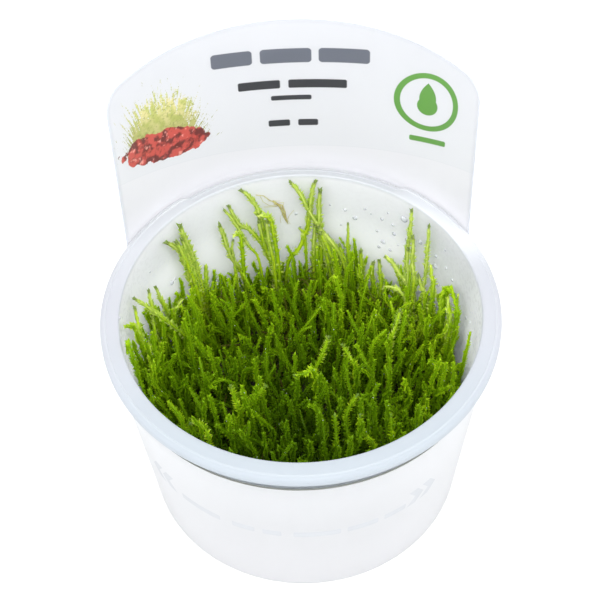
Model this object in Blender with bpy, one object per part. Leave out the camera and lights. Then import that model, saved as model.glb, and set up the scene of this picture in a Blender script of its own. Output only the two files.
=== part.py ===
# Java moss growing in its open culture cup, inside a printed label sleeve with an upright tab.
# Metres, +Z up. The origin is the middle of the cup's base. The front is -Y and the tab stands at +Y.
# A bearing is an angle in degrees round the cup, 0 at the back (+Y) and positive towards +X.

import math
import random

import bmesh
import bpy
from mathutils import Vector
from mathutils.geometry import delaunay_2d_cdt

# Gap that neighbouring pieces keep to each other
FIT_GAP = 0.0003

# Cup: thin drawn plastic, flanged rim with a skirt that turns down
CUP_HEIGHT = 0.0610
CUP_MOUTH_RADIUS = 0.04284
CUP_DRAFT = 0.088
CUP_WALL = 0.0011
CUP_FLOOR = 0.0014
CUP_BASE_CORNER = 0.0025
FLANGE_RADIUS = 0.0475
FLANGE_THICKNESS = 0.0012
FLANGE_FALL = 0.0005
FLANGE_EDGE_RADIUS = 0.0011
LIP_RADIUS = 0.0005
SKIRT_HEIGHT = 0.0030
SKIRT_THICKNESS = 0.0009
RECESS_BEARINGS = (-36.6, 35.0)
RECESS_DEPTH = 0.0011
RECESS_SHOULDER = 1.2
CUP_STEP = 5

# Label: one sheet, a sleeve round the wall and a tab behind the rim
SHEET_THICKNESS = 0.0004
SLEEVE_BOTTOM = 0.0005
SLEEVE_TOP = 0.05264
SLEEVE_BASE_RADIUS = 0.03942
SLEEVE_TOP_RADIUS = 0.04506
TAB_TOP = 0.1085
TAB_RADIUS = 0.0482
TAB_HALF_ANGLE = 60.8
TAB_CORNER = 0.0050
TAB_FOOT_CURVE = 0.0075
TAB_BEND_HEIGHT = 0.0572
TAB_BLEND_BEARINGS = (70.0, 92.0)
SHEET_STEP = 5
SHEET_ROWS = (0.014, 0.028, 0.041, SLEEVE_TOP, 0.0545, 0.0560, 0.0575, 0.0590, 0.075, 0.090, 0.1025)

# Nutrient gel, with a low rise where it wets the wall
GEL_TOP = 0.0105
GEL_RISE = 0.0007

# Moss: a felted mat of old stems, and the upright shoots that grow from it
MAT_TOP = 0.0180
MAT_SWELL = 0.0016
MAT_EDGE_POINTS = 48
SHOOT_SIDES = 5
CROWD_SPACING = 0.0049
CROWD_JITTER = 0.0006
CROWD_SEGMENTS = 2
CROWD_FOOT = 0.0016
CROWD_TIP = 0.0008
CROWD_HEIGHT = 0.0430
CROWD_HEIGHT_FALL = 0.15
CROWD_SIDE_RISE = 0.0060
CROWD_HEIGHT_SPREAD = 0.0055
CROWD_HEIGHT_LIMIT = 0.0515
TALL_SEGMENTS = 5
TALL_FOOT = 0.0012
TALL_TIP = 0.0006
TALL_BEND = 1.25
SHOOT_POINT = 0.0006
SHOOT_CLEARANCE = 0.0005
WALL_CLEARANCE = 0.0007
MOSS_SEED = 7

# Tall shoots that stand clear of the crowd: (foot bearing, foot inset, tip bearing, tip inset, tip height),
# with an inset measured inwards from the cup's inner wall, in millimetres as the heights are
TALL_SHOOTS = (
    (-38, 3.4, -45, 1.7, 58.5), (-44, 2.6, -48.5, 1.7, 53.5), (-18, 3.0, -29, 1.7, 51.5),
    (-13, 5.6, -25, 4.2, 56.5), (-22, 7.8, -23, 7.2, 46.5), (-10, 2.6, -19.5, 1.7, 60.0),
    (-6, 7.8, -11, 5.0, 49.5), (-3, 2.2, 2, 2.0, 60.5), (4, 2.6, 8.5, 1.6, 58.0),
    (24, 3.0, 19, 2.2, 47.5), (45, 2.4, 43, 1.7, 60.6), (50, 3.6, 46, 4.2, 52.0),
    (57, 2.6, 51.5, 1.7, 59.5), (64, 3.6, 58, 2.0, 47.5), (70, 3.4, 67, 2.4, 48.0),
    (77, 2.6, 75, 1.7, 51.0), (97, 2.6, 93, 1.7, 52.0), (-57, 3.0, -63, 1.8, 48.5),
    (-65, 3.0, -67.5, 1.8, 50.5), (-72, 5.2, -77.5, 1.7, 56.0), (-80, 2.6, -80, 1.8, 54.0),
    (-87, 3.0, -91, 1.7, 58.5), (-97, 2.6, -99, 1.7, 57.0), (-108, 3.0, -112, 1.8, 52.0),
)

CUP_PLASTIC = ("cup_plastic", (0.80, 0.83, 0.86), 0.32)
LABEL_SHEET = ("label_sheet", (0.90, 0.90, 0.92), 0.38)
CULTURE_GEL = ("culture_gel", (0.62, 0.63, 0.52), 0.12)
MOSS_GREEN = ("moss_green", (0.13, 0.27, 0.02), 0.65)


def clear_scene():
    for thing in list(bpy.data.objects):
        bpy.data.objects.remove(thing, do_unlink=True)


def plain_material(finish):
    name, colour, roughness = finish
    material = bpy.data.materials.new(name)
    material.use_nodes = True
    shader = material.node_tree.nodes["Principled BSDF"]
    shader.inputs["Base Color"].default_value = (*colour, 1.0)
    shader.inputs["Roughness"].default_value = roughness
    shader.inputs["Metallic"].default_value = 0.0
    return material


def add_part(name, mesh, finish, sharp_angle):
    mesh.materials.append(plain_material(finish))
    mesh.shade_smooth()
    mesh.set_sharp_from_angle(angle=math.radians(sharp_angle))
    part = bpy.data.objects.new(name, mesh)
    bpy.context.scene.collection.objects.link(part)
    return part


def place(radius, bearing, height):
    turn = math.radians(bearing)
    return Vector((radius * math.sin(turn), radius * math.cos(turn), height))


def smooth_step(low, high, value):
    share = min(max((value - low) / (high - low), 0.0), 1.0)
    return share * share * (3.0 - 2.0 * share)


def arc(centre, radius, start, end, steps):
    # Points of a half section's arc, from the start angle to the end angle in degrees
    points = []
    for i in range(steps + 1):
        turn = math.radians(start + (end - start) * i / steps)
        points.append((centre[0] + radius * math.cos(turn), centre[1] + radius * math.sin(turn)))
    return points


def turned_mesh(name, profile, bearings, radius_at):
    # Turns a half section that runs from the axis below to the axis above.
    # radius_at may move a point in or out at a bearing.
    shape = bmesh.new()
    low = shape.verts.new((0.0, 0.0, profile[0][1]))
    high = shape.verts.new((0.0, 0.0, profile[-1][1]))
    columns = []
    for bearing in bearings:
        ring = [shape.verts.new(place(radius_at(r, bearing), bearing, z)) for r, z in profile[1:-1]]
        columns.append(ring)
    for i, ring in enumerate(columns):
        after = columns[(i + 1) % len(columns)]
        shape.faces.new((low, ring[0], after[0]))
        for a in range(len(ring) - 1):
            shape.faces.new((ring[a], ring[a + 1], after[a + 1], after[a]))
        shape.faces.new((ring[-1], high, after[-1]))
    bmesh.ops.recalc_face_normals(shape, faces=shape.faces)
    mesh = bpy.data.meshes.new(name)
    shape.to_mesh(mesh)
    shape.free()
    return mesh


def inner_wall(height):
    return CUP_MOUTH_RADIUS - CUP_DRAFT * (CUP_HEIGHT - height)


def outer_wall(height):
    return inner_wall(height) + CUP_WALL


def cup_profile():
    under_flange = CUP_HEIGHT - FLANGE_FALL - FLANGE_THICKNESS
    skirt_inside = FLANGE_RADIUS - SKIRT_THICKNESS
    skirt_foot = CUP_HEIGHT - SKIRT_HEIGHT
    base_corner = (outer_wall(0.0) - CUP_BASE_CORNER, CUP_BASE_CORNER)
    floor_corner = (inner_wall(CUP_FLOOR) - CUP_BASE_CORNER, CUP_FLOOR + CUP_BASE_CORNER)
    edge = (FLANGE_RADIUS - FLANGE_EDGE_RADIUS, CUP_HEIGHT - FLANGE_FALL - FLANGE_EDGE_RADIUS)
    lip = (CUP_MOUTH_RADIUS + LIP_RADIUS, CUP_HEIGHT - LIP_RADIUS)
    points = [(0.0, 0.0)]
    points += arc(base_corner, CUP_BASE_CORNER, -90, -5, 4)
    points += [(outer_wall(under_flange), under_flange), (skirt_inside, under_flange)]
    points += [(skirt_inside, skirt_foot), (FLANGE_RADIUS, skirt_foot)]
    points += arc(edge, FLANGE_EDGE_RADIUS, 0, 80, 3)
    points += arc(lip, LIP_RADIUS, 85, 180, 3)
    points += arc(floor_corner, CUP_BASE_CORNER, -5, -90, 4)
    points += [(0.0, CUP_FLOOR)]
    return points


def flange_radius(radius, bearing):
    # The flange, and only the flange, is set back where the tab stands behind it
    if radius < CUP_MOUTH_RADIUS + CUP_WALL * 1.5:
        return radius
    signed = (bearing + 180.0) % 360.0 - 180.0
    start, end = RECESS_BEARINGS
    after_start = smooth_step(start - RECESS_SHOULDER, start, signed)
    before_end = 1.0 - smooth_step(end, end + RECESS_SHOULDER, signed)
    return radius - RECESS_DEPTH * after_start * before_end


def make_cup():
    bearings = set(range(-180, 180, CUP_STEP))
    start, end = RECESS_BEARINGS
    bearings |= {start - RECESS_SHOULDER, start, end, end + RECESS_SHOULDER}
    mesh = turned_mesh("cup", cup_profile(), sorted(bearings), flange_radius)
    return add_part("cup", mesh, CUP_PLASTIC, 35)


def sheet_radius(bearing, height):
    # Outside radius of the label sheet: a cone in front, and a strip that runs out past the flange behind
    cone = SLEEVE_BASE_RADIUS + (SLEEVE_TOP_RADIUS - SLEEVE_BASE_RADIUS) * height / SLEEVE_TOP
    rise = (TAB_RADIUS - SLEEVE_BASE_RADIUS) / TAB_BEND_HEIGHT
    strip = min(SLEEVE_BASE_RADIUS + rise * height, TAB_RADIUS)
    behind = 1.0 - smooth_step(*TAB_BLEND_BEARINGS, abs(bearing))
    return cone + (strip - cone) * behind


def sheet_outline():
    # The sheet laid flat: across is the length round the tab's radius, up is the height
    half_round = math.pi * TAB_RADIUS
    half_tab = math.radians(TAB_HALF_ANGLE) * TAB_RADIUS
    foot = (half_tab + TAB_FOOT_CURVE, SLEEVE_TOP + TAB_FOOT_CURVE)
    corner = (half_tab - TAB_CORNER, TAB_TOP - TAB_CORNER)
    right = arc(foot, TAB_FOOT_CURVE, -90, -180, 5) + arc(corner, TAB_CORNER, 0, 90, 5)
    left = [(-across, up) for across, up in reversed(right)]
    below = [(-half_round, SLEEVE_TOP), (-half_round, SLEEVE_BOTTOM)]
    below += [(half_round, SLEEVE_BOTTOM), (half_round, SLEEVE_TOP)]
    return below + right + left


def cut_straight(shape, point, direction):
    everything = shape.verts[:] + shape.edges[:] + shape.faces[:]
    bmesh.ops.bisect_plane(shape, geom=everything, dist=1e-7, plane_co=point, plane_no=direction)


def make_label_sleeve():
    shape = bmesh.new()
    shape.faces.new([shape.verts.new((across, 0.0, up)) for across, up in sheet_outline()])
    for bearing in range(-180 + SHEET_STEP, 180, SHEET_STEP):
        cut_straight(shape, (math.radians(bearing) * TAB_RADIUS, 0.0, 0.0), (1.0, 0.0, 0.0))
    for height in SHEET_ROWS:
        cut_straight(shape, (0.0, 0.0, height), (0.0, 0.0, 1.0))
    for vert in shape.verts:
        bearing = math.degrees(vert.co.x / TAB_RADIUS)
        vert.co = place(sheet_radius(bearing, vert.co.z), bearing, vert.co.z)
    bmesh.ops.remove_doubles(shape, verts=shape.verts, dist=0.00005)
    bmesh.ops.recalc_face_normals(shape, faces=shape.faces)
    if sum(face.normal.dot(face.calc_center_median() * Vector((1, 1, 0))) for face in shape.faces) < 0.0:
        bmesh.ops.reverse_faces(shape, faces=shape.faces)
    mesh = bpy.data.meshes.new("label_sleeve")
    shape.to_mesh(mesh)
    shape.free()
    sleeve = add_part("label_sleeve", mesh, LABEL_SHEET, 30)
    wall = sleeve.modifiers.new("thickness", "SOLIDIFY")
    wall.thickness = SHEET_THICKNESS
    wall.offset = -1.0
    wall.use_even_offset = True
    return sleeve


def make_culture_gel():
    floor = CUP_FLOOR + FIT_GAP
    corner = (inner_wall(floor) - FIT_GAP - CUP_BASE_CORNER, floor + CUP_BASE_CORNER)
    edge = GEL_TOP + GEL_RISE
    profile = [(0.0, floor)]
    profile += arc(corner, CUP_BASE_CORNER, -90, -5, 4)
    profile += [(inner_wall(edge) - FIT_GAP, edge), (inner_wall(edge) - 3.0 * GEL_RISE, GEL_TOP)]
    profile += [(0.0, GEL_TOP)]
    mesh = turned_mesh("culture_gel", profile, range(-180, 180, CUP_STEP), lambda radius, bearing: radius)
    return add_part("culture_gel", mesh, CULTURE_GEL, 35)


class Shoot:
    # One upright shoot: where its middle stands and how thick it is at any height between foot and tip
    def __init__(self, foot, lean, tip_height, thickness, bend, segments):
        self.foot = foot
        self.lean = lean
        self.tip_height = tip_height
        self.thickness = thickness
        self.bend = bend
        self.segments = segments

    def share(self, height):
        return min(max((height - MAT_TOP) / (self.tip_height - MAT_TOP), 0.0), 1.0)

    def middle(self, height):
        return self.foot + self.lean * self.share(height) ** self.bend

    def radius(self, height):
        wide, narrow = self.thickness
        return wide + (narrow - wide) * self.share(height)

    def clear_of(self, other):
        top = min(self.tip_height, other.tip_height)
        steps = 8
        for i in range(steps + 1):
            height = MAT_TOP + (top - MAT_TOP) * i / steps
            apart = (self.middle(height) - other.middle(height)).length
            if apart < self.radius(height) + other.radius(height) + SHOOT_CLEARANCE:
                return False
        return True

    def inside_cup(self):
        for height in (MAT_TOP, self.tip_height):
            if self.middle(height).length + self.radius(height) > inner_wall(height) - WALL_CLEARANCE:
                return False
        return True


def tall_shoot(foot_bearing, foot_inset, tip_bearing, tip_inset, tip_height):
    height = tip_height / 1000.0
    foot = place(inner_wall(MAT_TOP) - foot_inset / 1000.0, foot_bearing, 0.0).xy
    tip = place(inner_wall(height) - tip_inset / 1000.0, tip_bearing, 0.0).xy
    return Shoot(foot, tip - foot, height, (TALL_FOOT, TALL_TIP), TALL_BEND, TALL_SEGMENTS)


def canopy_height(spot, draw):
    # The crowd is lowest at the back, higher in front and where it climbs the side walls
    side = abs(spot.x) / CUP_MOUTH_RADIUS
    height = CROWD_HEIGHT - CROWD_HEIGHT_FALL * spot.y + CROWD_SIDE_RISE * side ** 3
    height += CROWD_HEIGHT_SPREAD * (2.0 * draw.random() - 1.0)
    return min(height, CROWD_HEIGHT_LIMIT)


def crowd_lean(spot, draw):
    # Neighbours lean nearly alike: outwards at the sides, and a little back
    lean = Vector((0.10 * spot.x, 0.04 * spot.y + 0.0012))
    lean.x += 0.0016 * math.sin(140.0 * spot.y + 1.0) + 0.0008 * (2.0 * draw.random() - 1.0)
    lean.y += 0.0012 * math.sin(160.0 * spot.x) + 0.0008 * (2.0 * draw.random() - 1.0)
    return lean


def crowd_spots(draw):
    # A jittered triangular grid over the mat
    reach = inner_wall(MAT_TOP)
    rows = math.ceil(reach / (CROWD_SPACING * math.sqrt(0.75)))
    columns = math.ceil(reach / CROWD_SPACING) + 1
    for row in range(-rows, rows + 1):
        for column in range(-columns, columns + 1):
            jitter = Vector((draw.uniform(-1, 1), draw.uniform(-1, 1))) * CROWD_JITTER
            across = (column + 0.5 * (row % 2)) * CROWD_SPACING
            yield Vector((across, row * CROWD_SPACING * math.sqrt(0.75))) + jitter


def plan_shoots():
    draw = random.Random(MOSS_SEED)
    shoots = [tall_shoot(*numbers) for numbers in TALL_SHOOTS]
    for spot in crowd_spots(draw):
        height = canopy_height(spot, draw)
        lean = crowd_lean(spot, draw)
        for share in (1.0, 0.5, 0.0):
            shoot = Shoot(spot, lean * share, height, (CROWD_FOOT, CROWD_TIP), 1.4, CROWD_SEGMENTS)
            if shoot.inside_cup() and all(shoot.clear_of(other) for other in shoots):
                shoots.append(shoot)
                break
    return shoots


def mat_height(spot):
    return MAT_TOP + MAT_SWELL * math.sin(310.0 * spot.x + 0.6) * math.cos(270.0 * spot.y - 0.4)


def level_ring(middle, radius, turn):
    ring = []
    for i in range(SHOOT_SIDES):
        angle = turn + 2.0 * math.pi * i / SHOOT_SIDES
        ring.append(Vector((middle.x + radius * math.cos(angle), middle.y + radius * math.sin(angle))))
    return ring


def grow_shoot(shape, shoot, foot_ring, turn):
    # A tapered, bent, pointed tube that rises from the ring of vertices at its foot
    below = foot_ring
    for i in range(1, shoot.segments + 1):
        height = MAT_TOP + (shoot.tip_height - MAT_TOP) * i / shoot.segments
        spots = level_ring(shoot.middle(height), shoot.radius(height), turn)
        ring = [shape.verts.new((*spot, height)) for spot in spots]
        for a in range(SHOOT_SIDES):
            b = (a + 1) % SHOOT_SIDES
            shape.faces.new((below[a], below[b], ring[b], ring[a]))
        below = ring
    point = shape.verts.new((*shoot.middle(shoot.tip_height), shoot.tip_height + SHOOT_POINT))
    for a in range(SHOOT_SIDES):
        shape.faces.new((below[a], below[(a + 1) % SHOOT_SIDES], point))


def make_moss():
    shoots = plan_shoots()
    bottom = GEL_TOP + GEL_RISE + FIT_GAP
    edge_bearings = [360.0 * i / MAT_EDGE_POINTS for i in range(MAT_EDGE_POINTS)]
    top_radius = inner_wall(MAT_TOP - MAT_SWELL) - 2.0 * FIT_GAP
    rim = [place(top_radius, bearing, 0.0).xy for bearing in reversed(edge_bearings)]
    flat = list(rim)
    loops = [list(range(len(rim)))]
    for number, shoot in enumerate(shoots):
        start = len(flat)
        flat += level_ring(shoot.foot, shoot.thickness[0], number * 0.7)
        loops.append(list(range(start, start + SHOOT_SIDES)))
    spots, edges, faces, from_vert, from_edge, from_face = delaunay_2d_cdt(flat, [], loops, 1, 1e-7)
    shape = bmesh.new()
    top = [shape.verts.new((spot.x, spot.y, mat_height(spot))) for spot in spots]
    kept = {origins[0]: vert for origins, vert in zip(from_vert, top)}
    for face, origins in zip(faces, from_face):
        if set(origins) == {0}:
            shape.faces.new([top[i] for i in face])
    for number, shoot in enumerate(shoots):
        grow_shoot(shape, shoot, [kept[i] for i in loops[number + 1]], number * 0.7)
    low_radius = inner_wall(bottom) - 2.0 * FIT_GAP
    low = [shape.verts.new(place(low_radius, bearing, bottom)) for bearing in reversed(edge_bearings)]
    for a in range(MAT_EDGE_POINTS):
        b = (a + 1) % MAT_EDGE_POINTS
        shape.faces.new((low[a], low[b], kept[b], kept[a]))
    centre = shape.verts.new((0.0, 0.0, bottom))
    for a in range(MAT_EDGE_POINTS):
        shape.faces.new((low[(a + 1) % MAT_EDGE_POINTS], low[a], centre))
    bmesh.ops.recalc_face_normals(shape, faces=shape.faces)
    mesh = bpy.data.meshes.new("moss")
    shape.to_mesh(mesh)
    shape.free()
    return add_part("moss", mesh, MOSS_GREEN, 60)


def main():
    clear_scene()
    for make in (make_cup, make_label_sleeve, make_culture_gel, make_moss):
        make()


main()
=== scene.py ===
import math
import random

import bmesh
import bpy
from mathutils import Matrix, Vector


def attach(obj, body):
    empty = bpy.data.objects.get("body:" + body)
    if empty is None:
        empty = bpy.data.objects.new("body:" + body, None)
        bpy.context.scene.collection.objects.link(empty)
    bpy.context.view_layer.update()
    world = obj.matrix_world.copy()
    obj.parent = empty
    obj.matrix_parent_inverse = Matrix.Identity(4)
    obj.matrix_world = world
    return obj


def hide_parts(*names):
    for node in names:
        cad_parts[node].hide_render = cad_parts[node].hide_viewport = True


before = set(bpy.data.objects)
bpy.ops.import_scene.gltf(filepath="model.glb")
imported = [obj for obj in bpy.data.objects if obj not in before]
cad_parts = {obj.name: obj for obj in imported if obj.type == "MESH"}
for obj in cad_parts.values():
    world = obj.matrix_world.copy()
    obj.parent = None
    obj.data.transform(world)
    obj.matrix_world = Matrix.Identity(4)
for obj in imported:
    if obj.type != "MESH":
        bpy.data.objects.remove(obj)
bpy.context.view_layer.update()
millimetre = 0.001
print("frame loaded")


# camera, floor and lights

view = {
    "photoPixels": 600,
    "lens": 100.0,
    "sensor": 36.0,
    "clip": (0.01, 10.0),
    "pitch": 51.38,       # degrees below the horizon
    "roll": -2.04,
    "distance": 0.3908,
    "aim": Vector((-0.00002, 0.0, 0.06436)),
}


def linkThing(name, data):
    thing = bpy.data.objects.new(name, data)
    bpy.context.scene.collection.objects.link(thing)
    return thing


def cameraAxes():
    pitch, roll = math.radians(view["pitch"]), math.radians(view["roll"])
    back = Vector((0.0, -math.cos(pitch), math.sin(pitch)))
    right = Vector((1.0, 0.0, 0.0))
    up = back.cross(right)
    turnedRight = right * math.cos(roll) + up * math.sin(roll)
    turnedUp = up * math.cos(roll) - right * math.sin(roll)
    return turnedRight, turnedUp, back


def placeCamera():
    right, up, back = cameraAxes()
    data = bpy.data.cameras.new("camera")
    data.lens, data.sensor_width = view["lens"], view["sensor"]
    data.clip_start, data.clip_end = view["clip"]
    camera = linkThing("camera", data)
    turn = Matrix((right, up, back)).transposed().to_4x4()
    camera.matrix_world = Matrix.Translation(view["aim"] + back * view["distance"]) @ turn
    bpy.context.scene.camera = camera


def rayThrough(across, down):
    # where the camera stands, and which way it looks through a pixel of the photograph
    right, up, back = cameraAxes()
    focal = view["lens"] / view["sensor"] * view["photoPixels"]
    middle = view["photoPixels"] / 2.0
    ray = right * ((across - middle) / focal) - up * ((down - middle) / focal) - back
    return view["aim"] + back * view["distance"], ray


def levelSpot(across, down, height):
    # where a pixel's ray comes down to a height
    start, ray = rayThrough(across, down)
    return start + ray * ((height - start.z) / ray.z)


light = {
    "world": 1.20,
    "aim": Vector((0.0, 0.0, 0.05)),
    "lamps": {            # power in watts, size in metres, and place
        "lampTop": (0.50, 0.55, (0.05, 0.12, 0.75)),
        "lampLeft": (1.45, 0.45, (-0.55, -0.25, 0.40)),
        "lampRight": (1.45, 0.45, (0.55, -0.20, 0.42)),
        "lampFront": (5.80, 0.70, (0.0, -0.50, 0.72)),
    },
    "floor": (0.84, 0.84, 0.84),
    "floorReach": 3.0,
    "floorMottle": 0.985,
}


def softLamp(name, power, size, place):
    lamp = bpy.data.lights.new(name, "AREA")
    lamp.energy, lamp.size = power, size
    thing = linkThing(name, lamp)
    thing.location = place
    thing.rotation_euler = (light["aim"] - Vector(place)).to_track_quat("-Z", "Y").to_euler()


def lightStage():
    scene = bpy.context.scene
    scene.view_settings.view_transform = "Standard"
    world = bpy.data.worlds.new("studio")
    world.use_nodes = True
    background = world.node_tree.nodes["Background"]
    background.inputs["Color"].default_value = (1.0, 1.0, 1.0, 1.0)
    background.inputs["Strength"].default_value = light["world"]
    scene.world = world
    for name, (power, size, place) in light["lamps"].items():
        softLamp(name, power, size, place)


def layFloor():
    mesh = bpy.data.meshes.new("floor")
    reach = light["floorReach"]
    corners = [(-reach, -reach, 0), (reach, -reach, 0), (reach, reach, 0), (-reach, reach, 0)]
    mesh.from_pydata(corners, [], [(0, 1, 2, 3)])
    floor = linkThing("floor", mesh)
    paint = Finish("floorPaper")
    darker = tuple(light["floorMottle"] * part for part in light["floor"])
    shade = paint.mixColour(paint.noise(3.0, 2.0), light["floor"], darker)
    paint.finish({"Base Color": shade, "Roughness": 0.9, "Specular IOR Level": 0.1})
    mesh.materials.append(paint.material)


# small helpers for node trees

def join(tree, socket, value):
    if isinstance(value, Wire):
        tree.links.new(value.socket, socket)
    elif isinstance(value, bpy.types.NodeSocket):
        tree.links.new(value, socket)
    elif socket.type == "RGBA" and len(value) == 3:
        socket.default_value = (*value, 1.0)
    else:
        socket.default_value = value


def findSocket(sockets, key):
    if isinstance(key, int):
        return sockets[key]
    return next(socket for socket in sockets if socket.enabled and socket.name == key)


def addNode(tree, kind, settings, inputs):
    node = tree.nodes.new(kind)
    for name, value in settings.items():
        if name == "stops":
            setStops(node.color_ramp, value)
        else:
            setattr(node, name, value)
    for key, value in inputs.items():
        join(tree, findSocket(node.inputs, key), value)
    return node


def setStops(ramp, stops):
    while len(ramp.elements) < len(stops):
        ramp.elements.new(1.0)
    for element, (position, colour) in zip(ramp.elements, stops):
        element.position = position
        element.color = (*colour, 1.0)


class Wire:
    # a number's socket that can be added, multiplied and so on like a number
    def __init__(self, tree, socket):
        self.tree, self.socket = tree, socket

    def maths(self, operation, *values):
        node = addNode(self.tree, "ShaderNodeMath", {"operation": operation}, dict(enumerate(values)))
        return Wire(self.tree, node.outputs[0])

    def __add__(self, other):
        return self.maths("ADD", self, other)

    def __sub__(self, other):
        return self.maths("SUBTRACT", self, other)

    def __rsub__(self, other):
        return self.maths("SUBTRACT", other, self)

    def __mul__(self, other):
        return self.maths("MULTIPLY", self, other)

    def __truediv__(self, other):
        return self.maths("DIVIDE", self, other)

    def __pow__(self, other):
        return self.maths("POWER", self, other)

    def __abs__(self):
        return self.maths("ABSOLUTE", self)

    __radd__ = __add__
    __rmul__ = __mul__

    def root(self):
        return self.maths("SQRT", self)

    def most(self, other):
        return self.maths("MAXIMUM", self, other)

    def least(self, other):
        return self.maths("MINIMUM", self, other)

    def over(self, other):
        return self.maths("GREATER_THAN", self, other)

    def ramp(self, low, high, first=0.0, last=1.0):
        # smooth step from first at low to last at high
        inputs = {"Value": self, "From Min": low, "From Max": high, "To Min": first, "To Max": last}
        node = addNode(self.tree, "ShaderNodeMapRange", {"interpolation_type": "SMOOTHSTEP"}, inputs)
        return Wire(self.tree, node.outputs[0])

    def fall(self, low, high):
        # smooth step from 1 at low to 0 at high
        return self.ramp(low, high, 1.0, 0.0)

    def spread(self, width):
        # a value between 0 and 1 as a shift to both sides, this wide in all
        return (self - 0.5) * width


def within(places, ranges):
    # how far a spot lies inside all ranges, from 0 to 1; each is an axis, two ends and, at need, their values
    return math.prod(places[axis].ramp(*ends) for axis, *ends in ranges)


class Finish:
    # a material under construction
    def __init__(self, name):
        self.material = bpy.data.materials.new(name)
        self.material.use_nodes = True
        self.tree = self.material.node_tree

    def node(self, kind, settings, inputs, output=0):
        made = addNode(self.tree, kind, settings, inputs)
        return Wire(self.tree, findSocket(made.outputs, output))

    def place(self):
        return self.node("ShaderNodeTexCoord", {}, {}, "Object")

    def axes(self, vector=None):
        made = addNode(self.tree, "ShaderNodeSeparateXYZ", {}, {0: vector or self.place()})
        return [Wire(self.tree, socket) for socket in made.outputs]

    def noise(self, scale, detail=3.0, vector=None):
        inputs = {"Vector": vector or self.place(), "Scale": scale, "Detail": detail}
        return self.node("ShaderNodeTexNoise", {}, inputs)

    def attribute(self, name):
        return self.node("ShaderNodeAttribute", {"attribute_name": name}, {}, "Fac")

    def mixColour(self, share, first, second):
        return self.node("ShaderNodeMix", {"data_type": "RGBA"}, {0: share, 6: first, 7: second}, 2)

    def colourRamp(self, value, stops):
        return self.node("ShaderNodeValToRGB", {"stops": stops}, {"Fac": value})

    def bump(self, height, distance, strength):
        return self.node("ShaderNodeBump", {}, {"Height": height, "Distance": distance, "Strength": strength})

    def finish(self, inputs, glow=None, glowColour=None):
        # glow is the share of light that a thin leaf or wall lets through
        shader = self.tree.nodes["Principled BSDF"]
        for name, value in inputs.items():
            join(self.tree, shader.inputs[name], value)
        if glow is not None:
            through = addNode(self.tree, "ShaderNodeBsdfTranslucent", {}, {"Color": glowColour})
            surfaces = {0: glow, 1: shader.outputs[0], 2: through.outputs[0]}
            both = addNode(self.tree, "ShaderNodeMixShader", {}, surfaces)
            self.tree.links.new(both.outputs[0], self.tree.nodes["Material Output"].inputs["Surface"])
        return self.material


class Growth:
    # a Geometry Nodes tree under construction
    def __init__(self, name, sockets):
        self.tree = bpy.data.node_groups.new(name, "GeometryNodeTree")
        face = self.tree.interface
        for socketName, kind in sockets.items():
            face.new_socket(name=socketName, in_out="INPUT", socket_type="NodeSocket" + kind)
        face.new_socket(name="Geometry", in_out="OUTPUT", socket_type="NodeSocketGeometry")
        self.given = self.tree.nodes.new("NodeGroupInput").outputs

    def node(self, kind, settings, inputs, output=0):
        return findSocket(addNode(self.tree, kind, settings, inputs).outputs, output)

    def named(self, name, kind="FLOAT"):
        return self.node("GeometryNodeInputNamedAttribute", {"data_type": kind}, {"Name": name}, "Attribute")

    def maths(self, operation, *values):
        return self.node("ShaderNodeMath", {"operation": operation}, dict(enumerate(values)))

    def product(self, first, *others):
        for other in others:
            first = self.maths("MULTIPLY", first, other)
        return first

    def joined(self, *geometries):
        node = self.tree.nodes.new("GeometryNodeJoinGeometry")
        for geometry in geometries:
            self.tree.links.new(geometry, node.inputs[0])
        return node.outputs[0]

    def close(self, geometry):
        real = self.node("GeometryNodeRealizeInstances", {}, {"Geometry": geometry})
        inputs = {"Geometry": real, "Material": self.given["Material"]}
        painted = self.node("GeometryNodeSetMaterial", {}, inputs)
        addNode(self.tree, "NodeGroupOutput", {}, {"Geometry": painted})
        return self.tree


def plainMesh(name, draft):
    # what a draft's modifiers make of it, as a mesh of its own
    mesh = bpy.data.meshes.new_from_object(draft.evaluated_get(bpy.context.evaluated_depsgraph_get()))
    bpy.data.objects.remove(draft)
    mesh.name = name
    return mesh


def grownMesh(name, start, tree, values):
    # runs a tree on a starting mesh
    draft = linkThing(name + "Draft", start)
    modifier = draft.modifiers.new("growth", "NODES")
    modifier.node_group = tree
    for item in tree.interface.items_tree:
        if item.in_out == "INPUT" and item.name in values:
            modifier[item.identifier] = values[item.name]
    return plainMesh(name, draft)


def smoothMesh(name, shape):
    mesh = bpy.data.meshes.new(name)
    shape.to_mesh(mesh)
    shape.free()
    mesh.shade_smooth()
    return mesh


def linkPiece(name, mesh, replaced=()):
    piece = linkThing(name, mesh)
    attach(piece, "root")
    if replaced:
        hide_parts(*replaced)


def around(radius, bearing, height):
    # bearing in degrees from the back (+Y), positive towards +X
    turn = math.radians(bearing)
    return Vector((radius * math.sin(turn), radius * math.cos(turn), height))


def softStep(low, high, value):
    share = min(max((value - low) / (high - low), 0.0), 1.0)
    return share * share * (3.0 - 2.0 * share)


def arcPoints(centre, radius, start, end, steps):
    turns = [math.radians(start + (end - start) * i / steps) for i in range(steps + 1)]
    return [(centre[0] + radius * math.cos(turn), centre[1] + radius * math.sin(turn)) for turn in turns]


# the cup

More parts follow.
